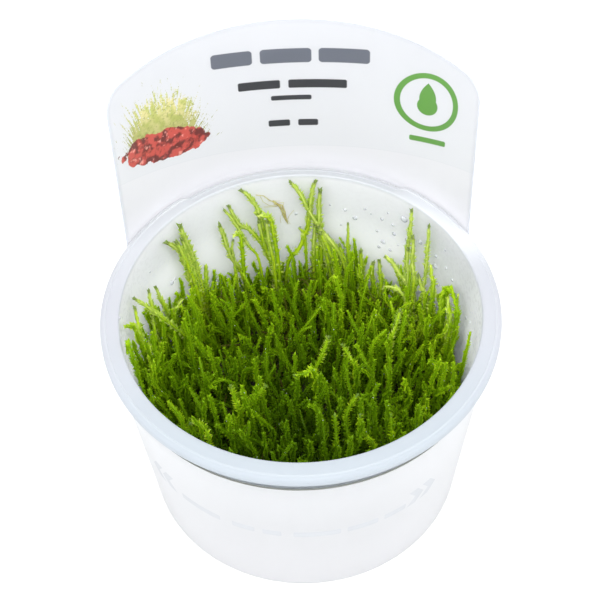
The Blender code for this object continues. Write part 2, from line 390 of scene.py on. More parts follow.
cup = {
    "height": 0.0610,
    "mouthRadius": 0.04284,
    "draft": 0.088,
    "wall": 0.0011,
    "floor": 0.0014,
    "baseCorner": 0.0025,
    "outerHeights": (0.012, 0.024, 0.036, 0.046, 0.054),            # of the rings on the wall
    "innerHeights": (0.058, 0.052, 0.044, 0.034, 0.024, 0.014),
    "flangeRadius": 0.0475,
    "flangeThickness": 0.0012,
    "flangeFall": 0.0005,
    "flangeRoot": 0.0006,         # round between the wall and the flange's underside
    "flangeMiddle": 0.0448,       # radius of a ring on the flange's upper side
    "edgeRadius": 0.0011,
    "lipRadius": 0.0005,
    "skirtHeight": 0.0030,
    "skirtThickness": 0.0009,
    "skirtChamfer": 0.0005,       # between the skirt and the flange's underside
    "skirtRound": 0.00025,        # at the skirt's lower edge
    "recess": (-36.6, 35.0),      # bearings between which the flange is set back
    "recessDepth": 0.0011,
    "recessShoulder": 1.2,
    "columns": 240,
    "bead": (0.0460, 0.0464, 0.00012),    # from, to and height of the bead that the lid closed on
    "flank": 0.0001,              # how wide the bead's slopes are
    "sharp": 50,                  # degrees from which an edge stays sharp
}


def innerWall(height):
    return cup["mouthRadius"] - cup["draft"] * (cup["height"] - height)


def cupSection():
    # from the middle of the underside up the outer wall, over the rim and down to the middle of the floor
    top, wall, flank = cup["height"], cup["wall"], cup["flank"]
    underFlange = top - cup["flangeFall"] - cup["flangeThickness"]
    skirtInside, skirtFoot = cup["flangeRadius"] - cup["skirtThickness"], top - cup["skirtHeight"]
    corner, edgeRadius, lipRadius = cup["baseCorner"], cup["edgeRadius"], cup["lipRadius"]
    outerCorner = (innerWall(0.0) + wall - corner, corner)
    innerCorner = (innerWall(cup["floor"]) - corner, cup["floor"] + corner)
    edge = (cup["flangeRadius"] - edgeRadius, top - cup["flangeFall"] - edgeRadius)
    lip = (cup["mouthRadius"] + lipRadius, top - lipRadius)
    root, chamfer, foot = cup["flangeRoot"], cup["skirtChamfer"], cup["skirtRound"]
    points = [(0.0, 0.0), (outerCorner[0] * 0.5, 0.0)]
    points += arcPoints(outerCorner, corner, -90, -5, 8)
    points += [(innerWall(height) + wall, height) for height in cup["outerHeights"]]
    points += arcPoints((innerWall(underFlange) + wall + root, underFlange - root), root, 180, 90, 4)
    points += [(skirtInside - chamfer - flank, underFlange), (skirtInside - flank, underFlange - chamfer)]
    points += arcPoints((skirtInside + foot, skirtFoot + foot), foot, 180, 270, 3)
    points += arcPoints((cup["flangeRadius"] - foot, skirtFoot + foot), foot, 270, 360, 3)
    points += arcPoints(edge, edgeRadius, 0, 82, 8)
    low, high, proud = cup["bead"]
    bead = ((high, 0.0), (high - flank, proud), (low + flank, proud), (low, 0.0))
    slope = cup["flangeFall"] / (edge[0] - lip[0])
    for radius, lift in bead + ((cup["flangeMiddle"], 0.0),):
        points.append((radius, top - slope * (radius - lip[0]) + lift))
    points += arcPoints(lip, lipRadius, 86, 180, 7)
    points += [(innerWall(height), height) for height in cup["innerHeights"]]
    points += arcPoints(innerCorner, corner, -5, -90, 7)
    points += [(innerCorner[0] * 0.5, cup["floor"]), (0.0, cup["floor"])]
    return points


def setBack(radius, bearing):
    # the flange, but not the wall, stands back where the tab rises behind it
    if radius < cup["mouthRadius"] + cup["wall"] * 1.5:
        return radius
    signed = (bearing + 180.0) % 360.0 - 180.0
    start, end = cup["recess"]
    shoulder = cup["recessShoulder"]
    share = softStep(start - shoulder, start, signed) * (1.0 - softStep(end, end + shoulder, signed))
    return radius - cup["recessDepth"] * share


def cupMesh():
    section = cupSection()
    shape = bmesh.new()
    low, high = shape.verts.new((0, 0, section[0][1])), shape.verts.new((0, 0, section[-1][1]))
    rings = []
    for i in range(cup["columns"]):
        bearing = 360.0 * i / cup["columns"]
        spots = [around(setBack(radius, bearing), bearing, height) for radius, height in section[1:-1]]
        rings.append([shape.verts.new(spot) for spot in spots])
    for ring, after in zip(rings, rings[1:] + rings[:1]):
        shape.faces.new((low, ring[0], after[0]))
        shape.faces.new((ring[-1], high, after[-1]))
        for a in range(len(ring) - 1):
            shape.faces.new((ring[a], ring[a + 1], after[a + 1], after[a]))
    bmesh.ops.recalc_face_normals(shape, faces=shape.faces)
    mesh = smoothMesh("cup", shape)
    mesh.set_sharp_from_angle(angle=math.radians(cup["sharp"]))
    return mesh


cupFinish = {
    "wall": (0.978, 0.985, 1.000),
    "wallRightShade": (0.70, 0.71, 0.725),    # painted shade on the inner wall behind on the right
    "onWallRightShade": (("x", 0.024, 0.036), ("y", 0.002, 0.012)),
    "flange": (-0.00010, 0.00005),      # where the wall's colour turns to the rim's, from the mouth's radius
    "rimFront": (0.378, 0.422, 0.470),
    "rimLightAndShade": (                       # painted light and shade: what the rim's colour turns to from the front on, and where: lighter to the sides, to the back, on the back's outer edge and at the back on the right
        ((0.430, 0.443, 0.487), (("y", -0.040, 0.0),)),
        ((0.560, 0.580, 0.612), (("y", 0.002, 0.034),)),
        ((0.65, 0.67, 0.69), (("radius", 0.0452, 0.0460), ("y", 0.020, 0.036))),
        ((0.68, 0.70, 0.74), (("x", 0.022, 0.034, 0.0, 0.9), ("y", 0.010, 0.024))),
    ),
    "slotEdgeLight": (0.69, 0.70, 0.72),     # painted light on the rim's edge in the slot before the tab
    "onSlotEdgeLight": (
        (("radius", 0.0455, 0.0461), ("y", 0.0372, 0.0380)),
        (("radius", 0.0467, 0.0472), ("y", 0.018, 0.026)),
    ),
    "slotLight": (0.03, 0.03, 0.03),    # painted glow for light that the milky rim passes on in that slot
    # painted highlight: a lighter line along the bead on the flange
    "bead": (0.9, 0.93, 0.95),
    "beadHighlightShare": 0.09,
    "onBeadHighlight": (("radius", 0.0459, 0.0460), ("radius", 0.0465, 0.0466, 1.0, 0.0), ("z", 0.059, 0.0595)),
    "wallLight": (0.178, 0.168, 0.186), # painted glow for light that comes through the wall just over the moss
    "wallBand": (0.029, 0.037, 0.042, 0.052),
    "bandRise": 0.17,                   # the band climbs to the sides by this share of the way
    "bandSides": (0.012, 0.042, 0.58, 1.0),
    "shade": (0.20, 0.22, 0.18),        # the bare wall between flange and sleeve
    "inShade": (("z", 0.0518, 0.0526), ("z", 0.0590, 0.0595, 1.0, 0.0), ("radius", 0.0450, 0.0456, 1.0, 0.0),
                ("y", -0.030, -0.010, 1.0, 0.0)),
    "mossShade": (0.055, 0.085, 0.015),      # painted shade of the moss: the wall dark green up to the moss's height in the middle
    "mossShadeTop": (0.0260, 0.0320),
    "mossShadeWave": 0.006,
    "stain": (0.5, 0.6, 0.7),
    "stainShare": 0.02,
    "roughness": (0.24, 0.34),
    "rimRougher": 0.24,
    "glow": 0.52,
    "rimGlow": 0.30,
    "glowLost": 0.8,                    # in the painted shade under the flange and in the moss's painted shade
    "glowColour": (0.965, 0.970, 0.975),
}


def rimLitColour(paint, places, slot):
    # the rim's colour, painted lighter to the sides and back for how light falls on it, with painted light in
    # the slot and a painted highlight on the bead
    colour = cupFinish["rimFront"]
    for tone, ranges in cupFinish["rimLightAndShade"]:
        colour = paint.mixColour(within(places, ranges), colour, tone)
    colour = paint.mixColour(slot, colour, cupFinish["slotEdgeLight"])
    # painted highlight along the bead
    bead = within(places, cupFinish["onBeadHighlight"])
    return paint.mixColour(bead * cupFinish["beadHighlightShare"], colour, cupFinish["bead"])


def lightThrough(paint, x, level, slot, onWall):
    # painted glow: faint light of its own on the rim in the slot, and on the inner wall over the moss
    start, full, last, end = cupFinish["wallBand"]
    level = level - abs(x) * cupFinish["bandRise"]
    passed = level.ramp(start, full) * level.fall(last, end) * onWall * abs(x).ramp(*cupFinish["bandSides"])
    lit = paint.mixColour(slot, (0.0, 0.0, 0.0), cupFinish["slotLight"])
    return paint.mixColour(passed, lit, cupFinish["wallLight"])


def milkyPlastic():
    paint = Finish("milkyPlastic")
    x, y, z = paint.axes()
    radius = (x ** 2.0 + y ** 2.0).root()
    places = {"x": x, "y": y, "z": z, "radius": radius}
    inner, outer = cupFinish["flange"]
    flange = radius.ramp(cup["mouthRadius"] + inner, cup["mouthRadius"] + outer)
    outside = (radius - z * cup["draft"] - innerWall(0.0)).ramp(cup["wall"] - 0.0006, cup["wall"] - 0.0002)
    # where painted light lies on the rim's edge in the slot before the tab
    firstLitSlot, secondLitSlot = cupFinish["onSlotEdgeLight"]
    slot = within(places, firstLitSlot).most(within(places, secondLitSlot))
    # painted shade on the inner wall at the back on the right
    inRightShade = within(places, cupFinish["onWallRightShade"])
    wall = paint.mixColour(inRightShade, cupFinish["wall"], cupFinish["wallRightShade"])
    colour = paint.mixColour(flange, wall, rimLitColour(paint, places, slot))
    shade = within(places, cupFinish["inShade"]) * outside
    colour = paint.mixColour(shade, colour, cupFinish["shade"])
    # painted shade of the moss on the inner wall, below the moss's height
    level = z + y * crowd["fallToBack"]
    mossShade = (level + paint.noise(150.0).spread(cupFinish["mossShadeWave"])).fall(*cupFinish["mossShadeTop"])
    mossShade = mossShade * (1.0 - outside)
    colour = paint.mixColour(mossShade, colour, cupFinish["mossShade"])
    colour = paint.mixColour(paint.noise(60.0, 4.0) * cupFinish["stainShare"], colour, cupFinish["stain"])
    roughness = paint.noise(900.0, 2.0).ramp(0.3, 0.7, *cupFinish["roughness"])
    glow = flange * (cupFinish["rimGlow"] - cupFinish["glow"]) + cupFinish["glow"]
    return paint.finish({
        "Base Color": colour,
        "Roughness": roughness + flange * cupFinish["rimRougher"],
        "Normal": paint.bump(paint.noise(220.0, 2.0), 0.00001, 0.2),
        "IOR": 1.49,
        "Specular IOR Level": 0.35,
        "Emission Color": lightThrough(paint, x, level, slot * flange, (1.0 - outside) * (1.0 - flange)),
        "Emission Strength": 1.0,
    }, glow * (1.0 - shade.most(mossShade) * cupFinish["glowLost"]), cupFinish["glowColour"])


def makeCup():
    mesh = cupMesh()
    mesh.materials.append(milkyPlastic())
    linkPiece("cultureCup", mesh, ("cup",))


# the label sheet: a sleeve round the wall and a tab behind the rim

sheet = {
    "thickness": 0.0004,
    "bottom": 0.0005,
    "top": 0.05264,
    "baseRadius": 0.03942,
    "topRadius": 0.04506,
    "tabTop": 0.1085,
    "tabRadius": 0.0482,
    "tabHalfAngle": 60.8,
    "tabCorner": 0.0050,
    "footCurve": 0.0075,
    "bendHeight": 0.0572,
    "blend": (70.0, 92.0),
    "columnStep": 2,          # degrees
    "rowStep": 0.0035,
    "cut": 1e-7,              # points nearer than this to a cut lie on it
    "merge": 0.00002,         # points nearer than this are one
    "sharp": 40,              # degrees from which an edge stays sharp
}


def sheetRadius(bearing, height):
    cone = sheet["baseRadius"] + (sheet["topRadius"] - sheet["baseRadius"]) * height / sheet["top"]
    rise = (sheet["tabRadius"] - sheet["baseRadius"]) / sheet["bendHeight"]
    strip = min(sheet["baseRadius"] + rise * height, sheet["tabRadius"])
    behind = 1.0 - softStep(*sheet["blend"], abs(bearing))
    return cone + (strip - cone) * behind


def sheetOutline():
    radius = sheet["tabRadius"]
    halfRound, halfTab = math.pi * radius, math.radians(sheet["tabHalfAngle"]) * radius
    foot = (halfTab + sheet["footCurve"], sheet["top"] + sheet["footCurve"])
    corner = (halfTab - sheet["tabCorner"], sheet["tabTop"] - sheet["tabCorner"])
    right = arcPoints(foot, sheet["footCurve"], -90, -180, 12)
    right += arcPoints(corner, sheet["tabCorner"], 0, 90, 12)
    left = [(-across, up) for across, up in reversed(right)]
    below = [(-halfRound, sheet["top"]), (-halfRound, sheet["bottom"])]
    below += [(halfRound, sheet["bottom"]), (halfRound, sheet["top"])]
    return below + right + left


def cutStraight(shape, point, direction):
    everything = shape.verts[:] + shape.edges[:] + shape.faces[:]
    bmesh.ops.bisect_plane(shape, geom=everything, dist=sheet["cut"], plane_co=point, plane_no=direction)


def sheetMesh():
    # cut flat, with its flat places kept as a UV map, then wrapped round the cup
    radius = sheet["tabRadius"]
    shape = bmesh.new()
    shape.faces.new([shape.verts.new((across, 0.0, up)) for across, up in sheetOutline()])
    for bearing in range(-180 + sheet["columnStep"], 180, sheet["columnStep"]):
        cutStraight(shape, (math.radians(bearing) * radius, 0, 0), (1, 0, 0))
    rows = math.floor(sheet["tabTop"] / sheet["rowStep"])
    for height in [sheet["rowStep"] * i for i in range(1, rows + 1)] + [sheet["bendHeight"], sheet["top"]]:
        cutStraight(shape, (0, 0, height), (0, 0, 1))
    flat = shape.loops.layers.uv.new("flat")
    for face in shape.faces:
        for loop in face.loops:
            loop[flat].uv = (loop.vert.co.x, loop.vert.co.z)
    for vert in shape.verts:
        bearing = math.degrees(vert.co.x / radius)
        vert.co = around(sheetRadius(bearing, vert.co.z), bearing, vert.co.z)
    bmesh.ops.remove_doubles(shape, verts=shape.verts, dist=sheet["merge"])
    bmesh.ops.recalc_face_normals(shape, faces=shape.faces)
    outwards = sum(face.normal.dot(face.calc_center_median() * Vector((1, 1, 0))) for face in shape.faces)
    if outwards < 0.0:
        bmesh.ops.reverse_faces(shape, faces=shape.faces)
    return smoothMesh("labelSheet", shape)


# print on the label, all in millimetres on the flat sheet: across from the middle of the tab, and up

tabPrint = {
    "rise": 0.0056,               # lines of print climb by this times the square of the way across
    "title": ((-14.6, 97.4, 5.1, 2.3), (-1.4, 97.4, 6.2, 2.3), (12.8, 97.4, 6.3, 2.3)),
    "titleColour": (0.105, 0.115, 0.145),
    "second": ((-8.2, 88.2, 5.2, 1.4), (6.2, 88.2, 7.2, 1.4)),
    "secondColour": (0.025, 0.025, 0.03),
    "third": ((-0.4, 83.6, 5.0, 0.8),),
    "code": ((-3.6, 75.0, 2.7, 1.1), (3.6, 75.0, 2.5, 1.1)),
    "badge": (34.8, 85.2, 9.4, 7.7),
    "badgeWord": ((35.4, 72.6, 5.4, 0.9),),
    "badgeColour": (0.095, 0.270, 0.040),
    "drop": (-1.2, 3.0),                # height of its middle from the badge's, and radius
    "dropTip": (-4.2, 10.5, 2.5),       # foot from the badge's middle, length and half width
    "tuft": (-34.6, 77.4),
    "tuftColours": ((0.44, 0.47, 0.12), (0.66, 0.60, 0.27), (0.22, 0.24, 0.06)),
    "tuftReach": (17.5, 20.0),          # half its width and its height
    "strands": (34.0, 3.6),             # how fine they are across, and along
    "mound": (-34.7, 74.0, 13.2, 5.0),
    "moundColours": ((0.50, 0.065, 0.050), (0.13, 0.015, 0.014), (0.85, 0.36, 0.30)),
    "border": (1.3, 0.3),
    "borderColour": (0.60, 0.62, 0.68),
    "borderShare": 0.5,
}

sleevePrint = {
    "colour": (0.580, 0.603, 0.634),
    "height": 29.2,
    "halfHeight": 1.25,
    "words": ((-24.6, 3.4), (-15.0, 4.4), (-2.4, 6.4), (9.8, 2.6), (17.8, 3.2), (31.0, 6.4)),
    "arrows": (-36.0, -31.4, 42.6, 47.2),
    "arrowSize": (2.0, 2.6, 3.6, 0.7),      # lift, width, half height and how far its arms slant
}

edgeBlur = 0.12       # half width of the print's soft edges


def barGap(across, up, bar, corner):
    # distance to a bar with round corners, negative inside
    middleAcross, middleUp, halfAcross, halfUp = bar
    corner = min(corner, halfUp)
    sideways = (abs(across - middleAcross) - (halfAcross - corner)).most(0.0)
    upwards = (abs(up - middleUp) - (halfUp - corner)).most(0.0)
    return (sideways ** 2.0 + upwards ** 2.0).root() - corner


def allBars(across, up, bars, corner):
    gap = barGap(across, up, bars[0], corner)
    for bar in bars[1:]:
        gap = gap.least(barGap(across, up, bar, corner))
    return gap.fall(-edgeBlur, edgeBlur)


def roundMask(across, up, radius):
    gap = (across ** 2.0 + up ** 2.0).root() - radius
    return gap.fall(-edgeBlur, edgeBlur)


def almondMask(across, up, length, width):
    # an almond that stands upright on its tip
    onwards = up / length
    rib = (onwards * (1.0 - onwards)).most(0.0) * (4.0 * width)
    return (rib - abs(across)).ramp(-0.02, edgeBlur)


def flatSheetAxes(paint):
    uv = paint.node("ShaderNodeUVMap", {"uv_map": "flat"}, {})
    across, up, nothing = paint.axes(uv)
    return across * 1000.0, up * 1000.0


sheetFinish = {
    "sleeve": (0.745, 0.755, 0.770),
    # painted light: the sleeve lighter at its sides and its foot than at its front
    "sleeveSideLight": (0.870, 0.880, 0.895),
    "sides": (12.0, 62.0),              # painted light: from the front's middle, where the sleeve turns lighter towards its sides
    "sleeveFootLight": (4.0, 36.0, 0.35, 0.0),
    # painted light and shade on the tab: lighter below an arc across it, darker above it and along it
    "tabLow": (0.870, 0.860, 0.885),
    "tabHighShade": (0.735, 0.728, 0.762),
    "tabShadeBlend": (0.0, 38.0),            # painted shade over the arc
    "tabArc": (66.8, 10.0, 43.7),       # arc where the painted light and shade change: height in the middle, and rise at so far across, in millimetres
    "aboveArcShade": (0.66, 0.72, 0.74),
    "aboveArcShadeShare": (-0.15, 0.15, 0.0, 0.22),
    "arcLineShade": (0.55, 0.58, 0.62),
    "arcLineShadeShare": (0.0, 0.22, 0.25, 0.0),
    "mottle": (0.5, 0.5, 0.5),
    "mottleShare": 0.04,
    # painted shade: the sheet's cut edges darker and bluer than its faces
    "edge": (0.55, 0.59, 0.65),
    "shadedEdge": (0.21, 0.22, 0.20),
    "inShade": (("z", 0.05304, 0.05384, 1.0, 0.0), ("z", 0.002, 0.004)),    # the sleeve's upper edge
    "glowBehindRim": (0.24, 0.24, 0.25),    # painted glow for light that the milky rim passes on to the tab just behind it
    "rimShadow": (58.8, 60.8),
    "roughness": (0.33, 0.42),
    "glow": 0.50,
    "glowColour": (0.72, 0.73, 0.75),
}


def sheetEdge():
    # painted shade on the sheet's cut edges, darkest on the sleeve's upper edge, which lies in the shade of
    # the rim
    paint = Finish("sheetEdge")
    shaded = within({"z": paint.axes()[2]}, sheetFinish["inShade"])
    colour = paint.mixColour(paint.noise(300.0) * 0.1, sheetFinish["edge"], sheetFinish["sleeve"])
    return sheetSurface(paint, paint.mixColour(shaded, colour, sheetFinish["shadedEdge"]), shaded * 0.8)


def sheetSurface(paint, colour, inked, lit=(0.0, 0.0, 0.0)):
    return paint.finish({
        "Base Color": colour,
        "Emission Color": lit,
        "Emission Strength": 1.0,
        "Roughness": paint.noise(500.0).ramp(0.3, 0.7, *sheetFinish["roughness"]),
        "Normal": paint.bump(paint.noise(1400.0, 2.0), 0.00001, 0.3),
        "IOR": 1.46,
    }, (1.0 - inked) * sheetFinish["glow"], sheetFinish["glowColour"])


def mottled(paint, colour):
    share = paint.noise(140.0, 5.0) * sheetFinish["mottleShare"]
    return paint.mixColour(share, colour, sheetFinish["mottle"])


def tabPaper(paint, across, level):
    # the tab's bare paper, with painted light below an arc across it, painted shade above it and along it,
    # and its greyer border
    middle, rise, reach = sheetFinish["tabArc"]
    over = level - middle - (across / reach) ** 2.0 * rise
    high = over.ramp(*sheetFinish["tabShadeBlend"])
    paper = paint.mixColour(high, sheetFinish["tabLow"], sheetFinish["tabHighShade"])
    paper = paint.mixColour(over.ramp(*sheetFinish["aboveArcShadeShare"]), paper, sheetFinish["aboveArcShade"])
    paper = paint.mixColour(abs(over).ramp(*sheetFinish["arcLineShadeShare"]), paper, sheetFinish["arcLineShade"])
    halfTab = math.radians(sheet["tabHalfAngle"]) * sheet["tabRadius"] * 1000.0
    tabTop, corner = sheet["tabTop"] * 1000.0, sheet["tabCorner"] * 1000.0
    near, far = tabPrint["border"]
    border = barGap(across, level, (0.0, tabTop / 2.0, halfTab, tabTop / 2.0), corner).ramp(-near, -far)
    return paint.mixColour(border * tabPrint["borderShare"], mottled(paint, paper), tabPrint["borderColour"])


def printedTab():
    paint = Finish("printedTab")
    across, up = flatSheetAxes(paint)
    level = up - across ** 2.0 * tabPrint["rise"]
    title = allBars(across, level, tabPrint["title"], 1.0)
    colour = paint.mixColour(title, tabPaper(paint, across, up), tabPrint["titleColour"])
    small = allBars(across, level, tabPrint["second"] + tabPrint["third"] + tabPrint["code"], 0.5)
    colour = paint.mixColour(small, colour, tabPrint["secondColour"])
    green = printedBadge(across, level)
    colour = paint.mixColour(green, colour, tabPrint["badgeColour"])
    colour, picture = printedPicture(paint, across, level, colour)
    glowBehindRim = paint.mixColour(up.fall(*sheetFinish["rimShadow"]), (0.0, 0.0, 0.0), sheetFinish["glowBehindRim"])
    return sheetSurface(paint, colour, title.most(small).most(green).most(picture) * 0.85, glowBehindRim)


def printedBadge(across, level):
    # a ring round a drop, and a bar under it
    middleAcross, middleUp, outer, inner = tabPrint["badge"]
    sideways, upwards = across - middleAcross, level - middleUp
    ring = roundMask(sideways, upwards, outer) - roundMask(sideways, upwards, inner)
    dropMiddle, dropRadius = tabPrint["drop"]
    tipFoot, tipLength, tipWidth = tabPrint["dropTip"]
    drop = roundMask(sideways, upwards - dropMiddle, dropRadius)
    drop = drop.most(almondMask(sideways, upwards - tipFoot, tipLength, tipWidth))
    return ring.most(drop).most(allBars(across, level, tabPrint["badgeWord"], 0.5))


def printedTuft(paint, across, level):
    # feathery strands that fan out and thin towards the tuft's outline
    footAcross, footUp = tabPrint["tuft"]
    halfWide, tall = tabPrint["tuftReach"]
    sideways, upwards = (across - footAcross) / halfWide, (level - footUp) / tall
    far = (sideways ** 2.0 + upwards.most(0.0) ** 2.0).root()
    fan, reach = tabPrint["strands"]
    strand = {0: sideways / (upwards + 0.9) * fan, 1: upwards * reach, 2: 0.0}
    strands = paint.noise(1.0, 4.0, paint.node("ShaderNodeCombineXYZ", {}, strand))
    feather = strands * 0.65 + paint.noise(2600.0) * 0.35
    tuft = (feather - far.ramp(0.0, 1.0, 0.22, 0.62)).ramp(0.0, 0.035)
    tuft = tuft * far.fall(0.92, 0.98) * upwards.ramp(-0.25, -0.20)
    fresh, ripe, dark = tabPrint["tuftColours"]
    tint = paint.mixColour(paint.noise(500.0, 4.0).ramp(0.35, 0.65), fresh, ripe)
    tint = paint.mixColour(paint.noise(1300.0).ramp(0.52, 0.68, 0.0, 0.7), tint, dark)
    return tuft, paint.mixColour(upwards.ramp(0.05, 0.50, 0.5, 0.0), tint, dark)


def printedMound(paint, across, level):
    middleAcross, middleUp, halfAcross, halfUp = tabPrint["mound"]
    squash = halfAcross / halfUp
    gap = ((across - middleAcross) ** 2.0 + ((level - middleUp) * squash) ** 2.0).root() - halfAcross
    mound = (gap + paint.noise(300.0, 6.0).spread(10.0)).fall(-0.15, 0.15)
    red, shadow, glint = tabPrint["moundColours"]
    clay = paint.mixColour(paint.noise(460.0, 6.0).ramp(0.42, 0.58), red, shadow)
    return mound, paint.mixColour(paint.noise(700.0, 4.0).ramp(0.58, 0.68, 0.0, 0.7), clay, glint)


def printedPicture(paint, across, level, colour):
    # a feathery tuft on a reddish mound
    tuft, tint = printedTuft(paint, across, level)
    mound, clay = printedMound(paint, across, level)
    return paint.mixColour(mound, paint.mixColour(tuft, colour, tint), clay), tuft.most(mound)


def arrowMask(fromFront, up, middle):
    # one bent stroke of an arrow that points away from the front's middle
    lift, width, halfHeight, arm = sleevePrint["arrowSize"]
    away = (fromFront - middle) * math.copysign(1.0, middle)
    slant = abs(up - sleevePrint["height"] - lift)
    wedge = (width - away - slant * arm).ramp(-0.1, 0.1) * (away + slant * arm + 0.4).ramp(-0.1, 0.1)
    return wedge * (halfHeight - slant).ramp(-0.1, 0.1)


def printedSleeve():
    paint = Finish("printedSleeve")
    across, up = flatSheetAxes(paint)
    half = math.pi * sheet["tabRadius"] * 1000.0
    side = across.over(0.0) * 2.0 - 1.0
    fromFront = (abs(across) - half) * side
    paper = mottled(paint, sheetFinish["sleeve"])
    # painted light: lighter near the foot and towards the sides than at the front
    paper = paint.mixColour(up.ramp(*sheetFinish["sleeveFootLight"]), paper, sheetFinish["tabLow"])
    paper = paint.mixColour(abs(fromFront).ramp(*sheetFinish["sides"]), paper, sheetFinish["sleeveSideLight"])
    height, halfHeight = sleevePrint["height"], sleevePrint["halfHeight"]
    bars = [(middle, height, halfWidth, halfHeight) for middle, halfWidth in sleevePrint["words"]]
    mask = allBars(fromFront, up, bars, 0.5)
    for middle in sleevePrint["arrows"]:
        mask = mask.most(arrowMask(fromFront, up, middle))
    colour = paint.mixColour(mask, paper, sleevePrint["colour"])
    return sheetSurface(paint, colour, mask * 0.3)


def makeLabel():
    draft = linkThing("labelDraft", sheetMesh())
    wall = draft.modifiers.new("thickness", "SOLIDIFY")
    wall.thickness, wall.offset, wall.use_even_offset = sheet["thickness"], -1.0, True
    mesh = plainMesh("labelSheet", draft)
    mesh.materials.clear()
    for material in (printedSleeve(), printedTab(), sheetEdge()):
        mesh.materials.append(material)
    for polygon in mesh.polygons:
        outwards = polygon.normal.dot((polygon.center * Vector((1, 1, 0))).normalized())
        if abs(outwards) < 0.5:
            polygon.material_index = 2
        elif outwards < 0.0 and polygon.center.z > sheet["top"]:
            polygon.material_index = 1
    mesh.set_sharp_from_angle(angle=math.radians(sheet["sharp"]))
    linkPiece("labelSheet", mesh, ("label_sleeve",))


# the gel keeps its own solid

gelFinish = {
    "clear": (0.42, 0.44, 0.30),
    "cloudy": (0.55, 0.56, 0.42),
    "roughness": (0.06, 0.16),
    "coat": 0.4,
    "glow": 0.4,
    "glowColour": (0.50, 0.52, 0.38),
}


def wetGel():
    paint = Finish("wetGel")
    return paint.finish({
        "Base Color": paint.mixColour(paint.noise(90.0, 4.0), gelFinish["clear"], gelFinish["cloudy"]),
        "Roughness": paint.noise(300.0, 2.0).ramp(0.3, 0.7, *gelFinish["roughness"]),
        "Normal": paint.bump(paint.noise(160.0, 2.0), 0.0002, 0.4),
        "Coat Weight": gelFinish["coat"],
    }, gelFinish["glow"], gelFinish["glowColour"])


def finishGel():
    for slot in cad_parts["culture_gel"].material_slots:
        slot.material = wetGel()


# the moss: every shoot is a path first, then leaves are set along the paths

crowd = {
    "spacing": 0.00243,
    "jitter": 0.0011,
    "edge": 0.0012,            # kept between the shoots' feet and the wall
    "footHeight": 0.0125,
    "height": 0.0440,          # canopy in the middle of the cup
    "fallToBack": 0.15,
    "sideRise": 0.0060,
    "toCrest": (0.024, 0.034), # radii between which the canopy turns to the crest
    "crestEnds": (80.0, 100.0),
    "depth": 0.0230,           # the shortest shoots end this far under the canopy
    "emergentShare": 0.14,
    "emergentRise": 0.0045,
    "limit": 0.0525,
    "step": 0.0022,
    "gaps": (0.0009, 0.0015),  # kept to the wall, and how much more of it on the right
    "gapRight": (0.030, 0.040),
    "tone": (0.09, 0.42, 0.15),    # the least, what chance adds, and painted light that a low place adds to the shoots deep in the shade
    "vigour": (0.85, 1.25),
    "thinning": 0.35,          # how many fewer leaves the shortest shoots have
    "wallShoots": 110,
    "backShoots": 170,
    "backBearings": (-95.0, 72.0),
    "backWidth": 0.0040,
    "backDepth": 0.0080,
    "leafyLength": 0.018,
    "baring": 0.010,           # over this length under the leafy part its leaves thin out
    "bareShare": 0.75,
    "tip": (0.84, 0.0016),     # girth at the tip, and how far below it a shoot is at its full girth
    "tallTip": (0.80, 0.0090),
    "tallGirth": 1.42,
    "tallLimit": 0.0602,
    "opening": (0.95, 1.20, 0.0030),      # how far leaves stand off at the tip, lower down, and how low
    "tallOpening": (0.62, 1.00, 0.0120),
    "frilled": (0.90, 1.25, 0.0030),
    "seed": 11,
}

# bearing and height in millimetres of the moss where it meets the far wall
crest = (
    (-90, 45.0), (-65, 42.0), (-57, 38.5), (-46, 41.0), (-40, 39.5), (-35, 35.0), (-12, 33.5), (0, 31.0),
    (8, 32.0), (18, 39.0), (25, 40.0), (33, 37.5), (41, 32.5), (47, 37.0), (58, 41.0), (75, 43.0), (90, 44.0),
)

leaning = {
    "outwards": (0.11, 0.06, 0.04),       # to the left, right and back, by the way from the middle
    "backwards": 0.0012,
    "waves": ((0.0016, 140.0, 1.0), (0.0012, 160.0, 0.0)),
    "chance": 0.0034,
}

bending = {
    "bend": (1.0, 1.7),
    "wander": 0.0010,
    "wanderShare": (0.3, 1.2),
    "rates": (3.0, 9.0),
    "quickRates": (14.0, 15.0),
    "quickShare": 0.2,
    "hookShare": 0.16,
    "hook": (0.78, 0.22),      # where on the shoot it starts, and its length, as shares
    "hookReach": (0.0015, 0.0038),
    "hookDrop": 0.5,
}

forks = {
    "share": 0.30,
    "length": (0.004, 0.0095),
    "knee": (0.7, 0.35),       # how far outwards it bends, and where
    "end": (0.9, 0.55),        # its end, along its parent and outwards
    "vigour": 0.85,
    "along": (0.55, 1.0),
}

aboutTurn = 6.28     # radians


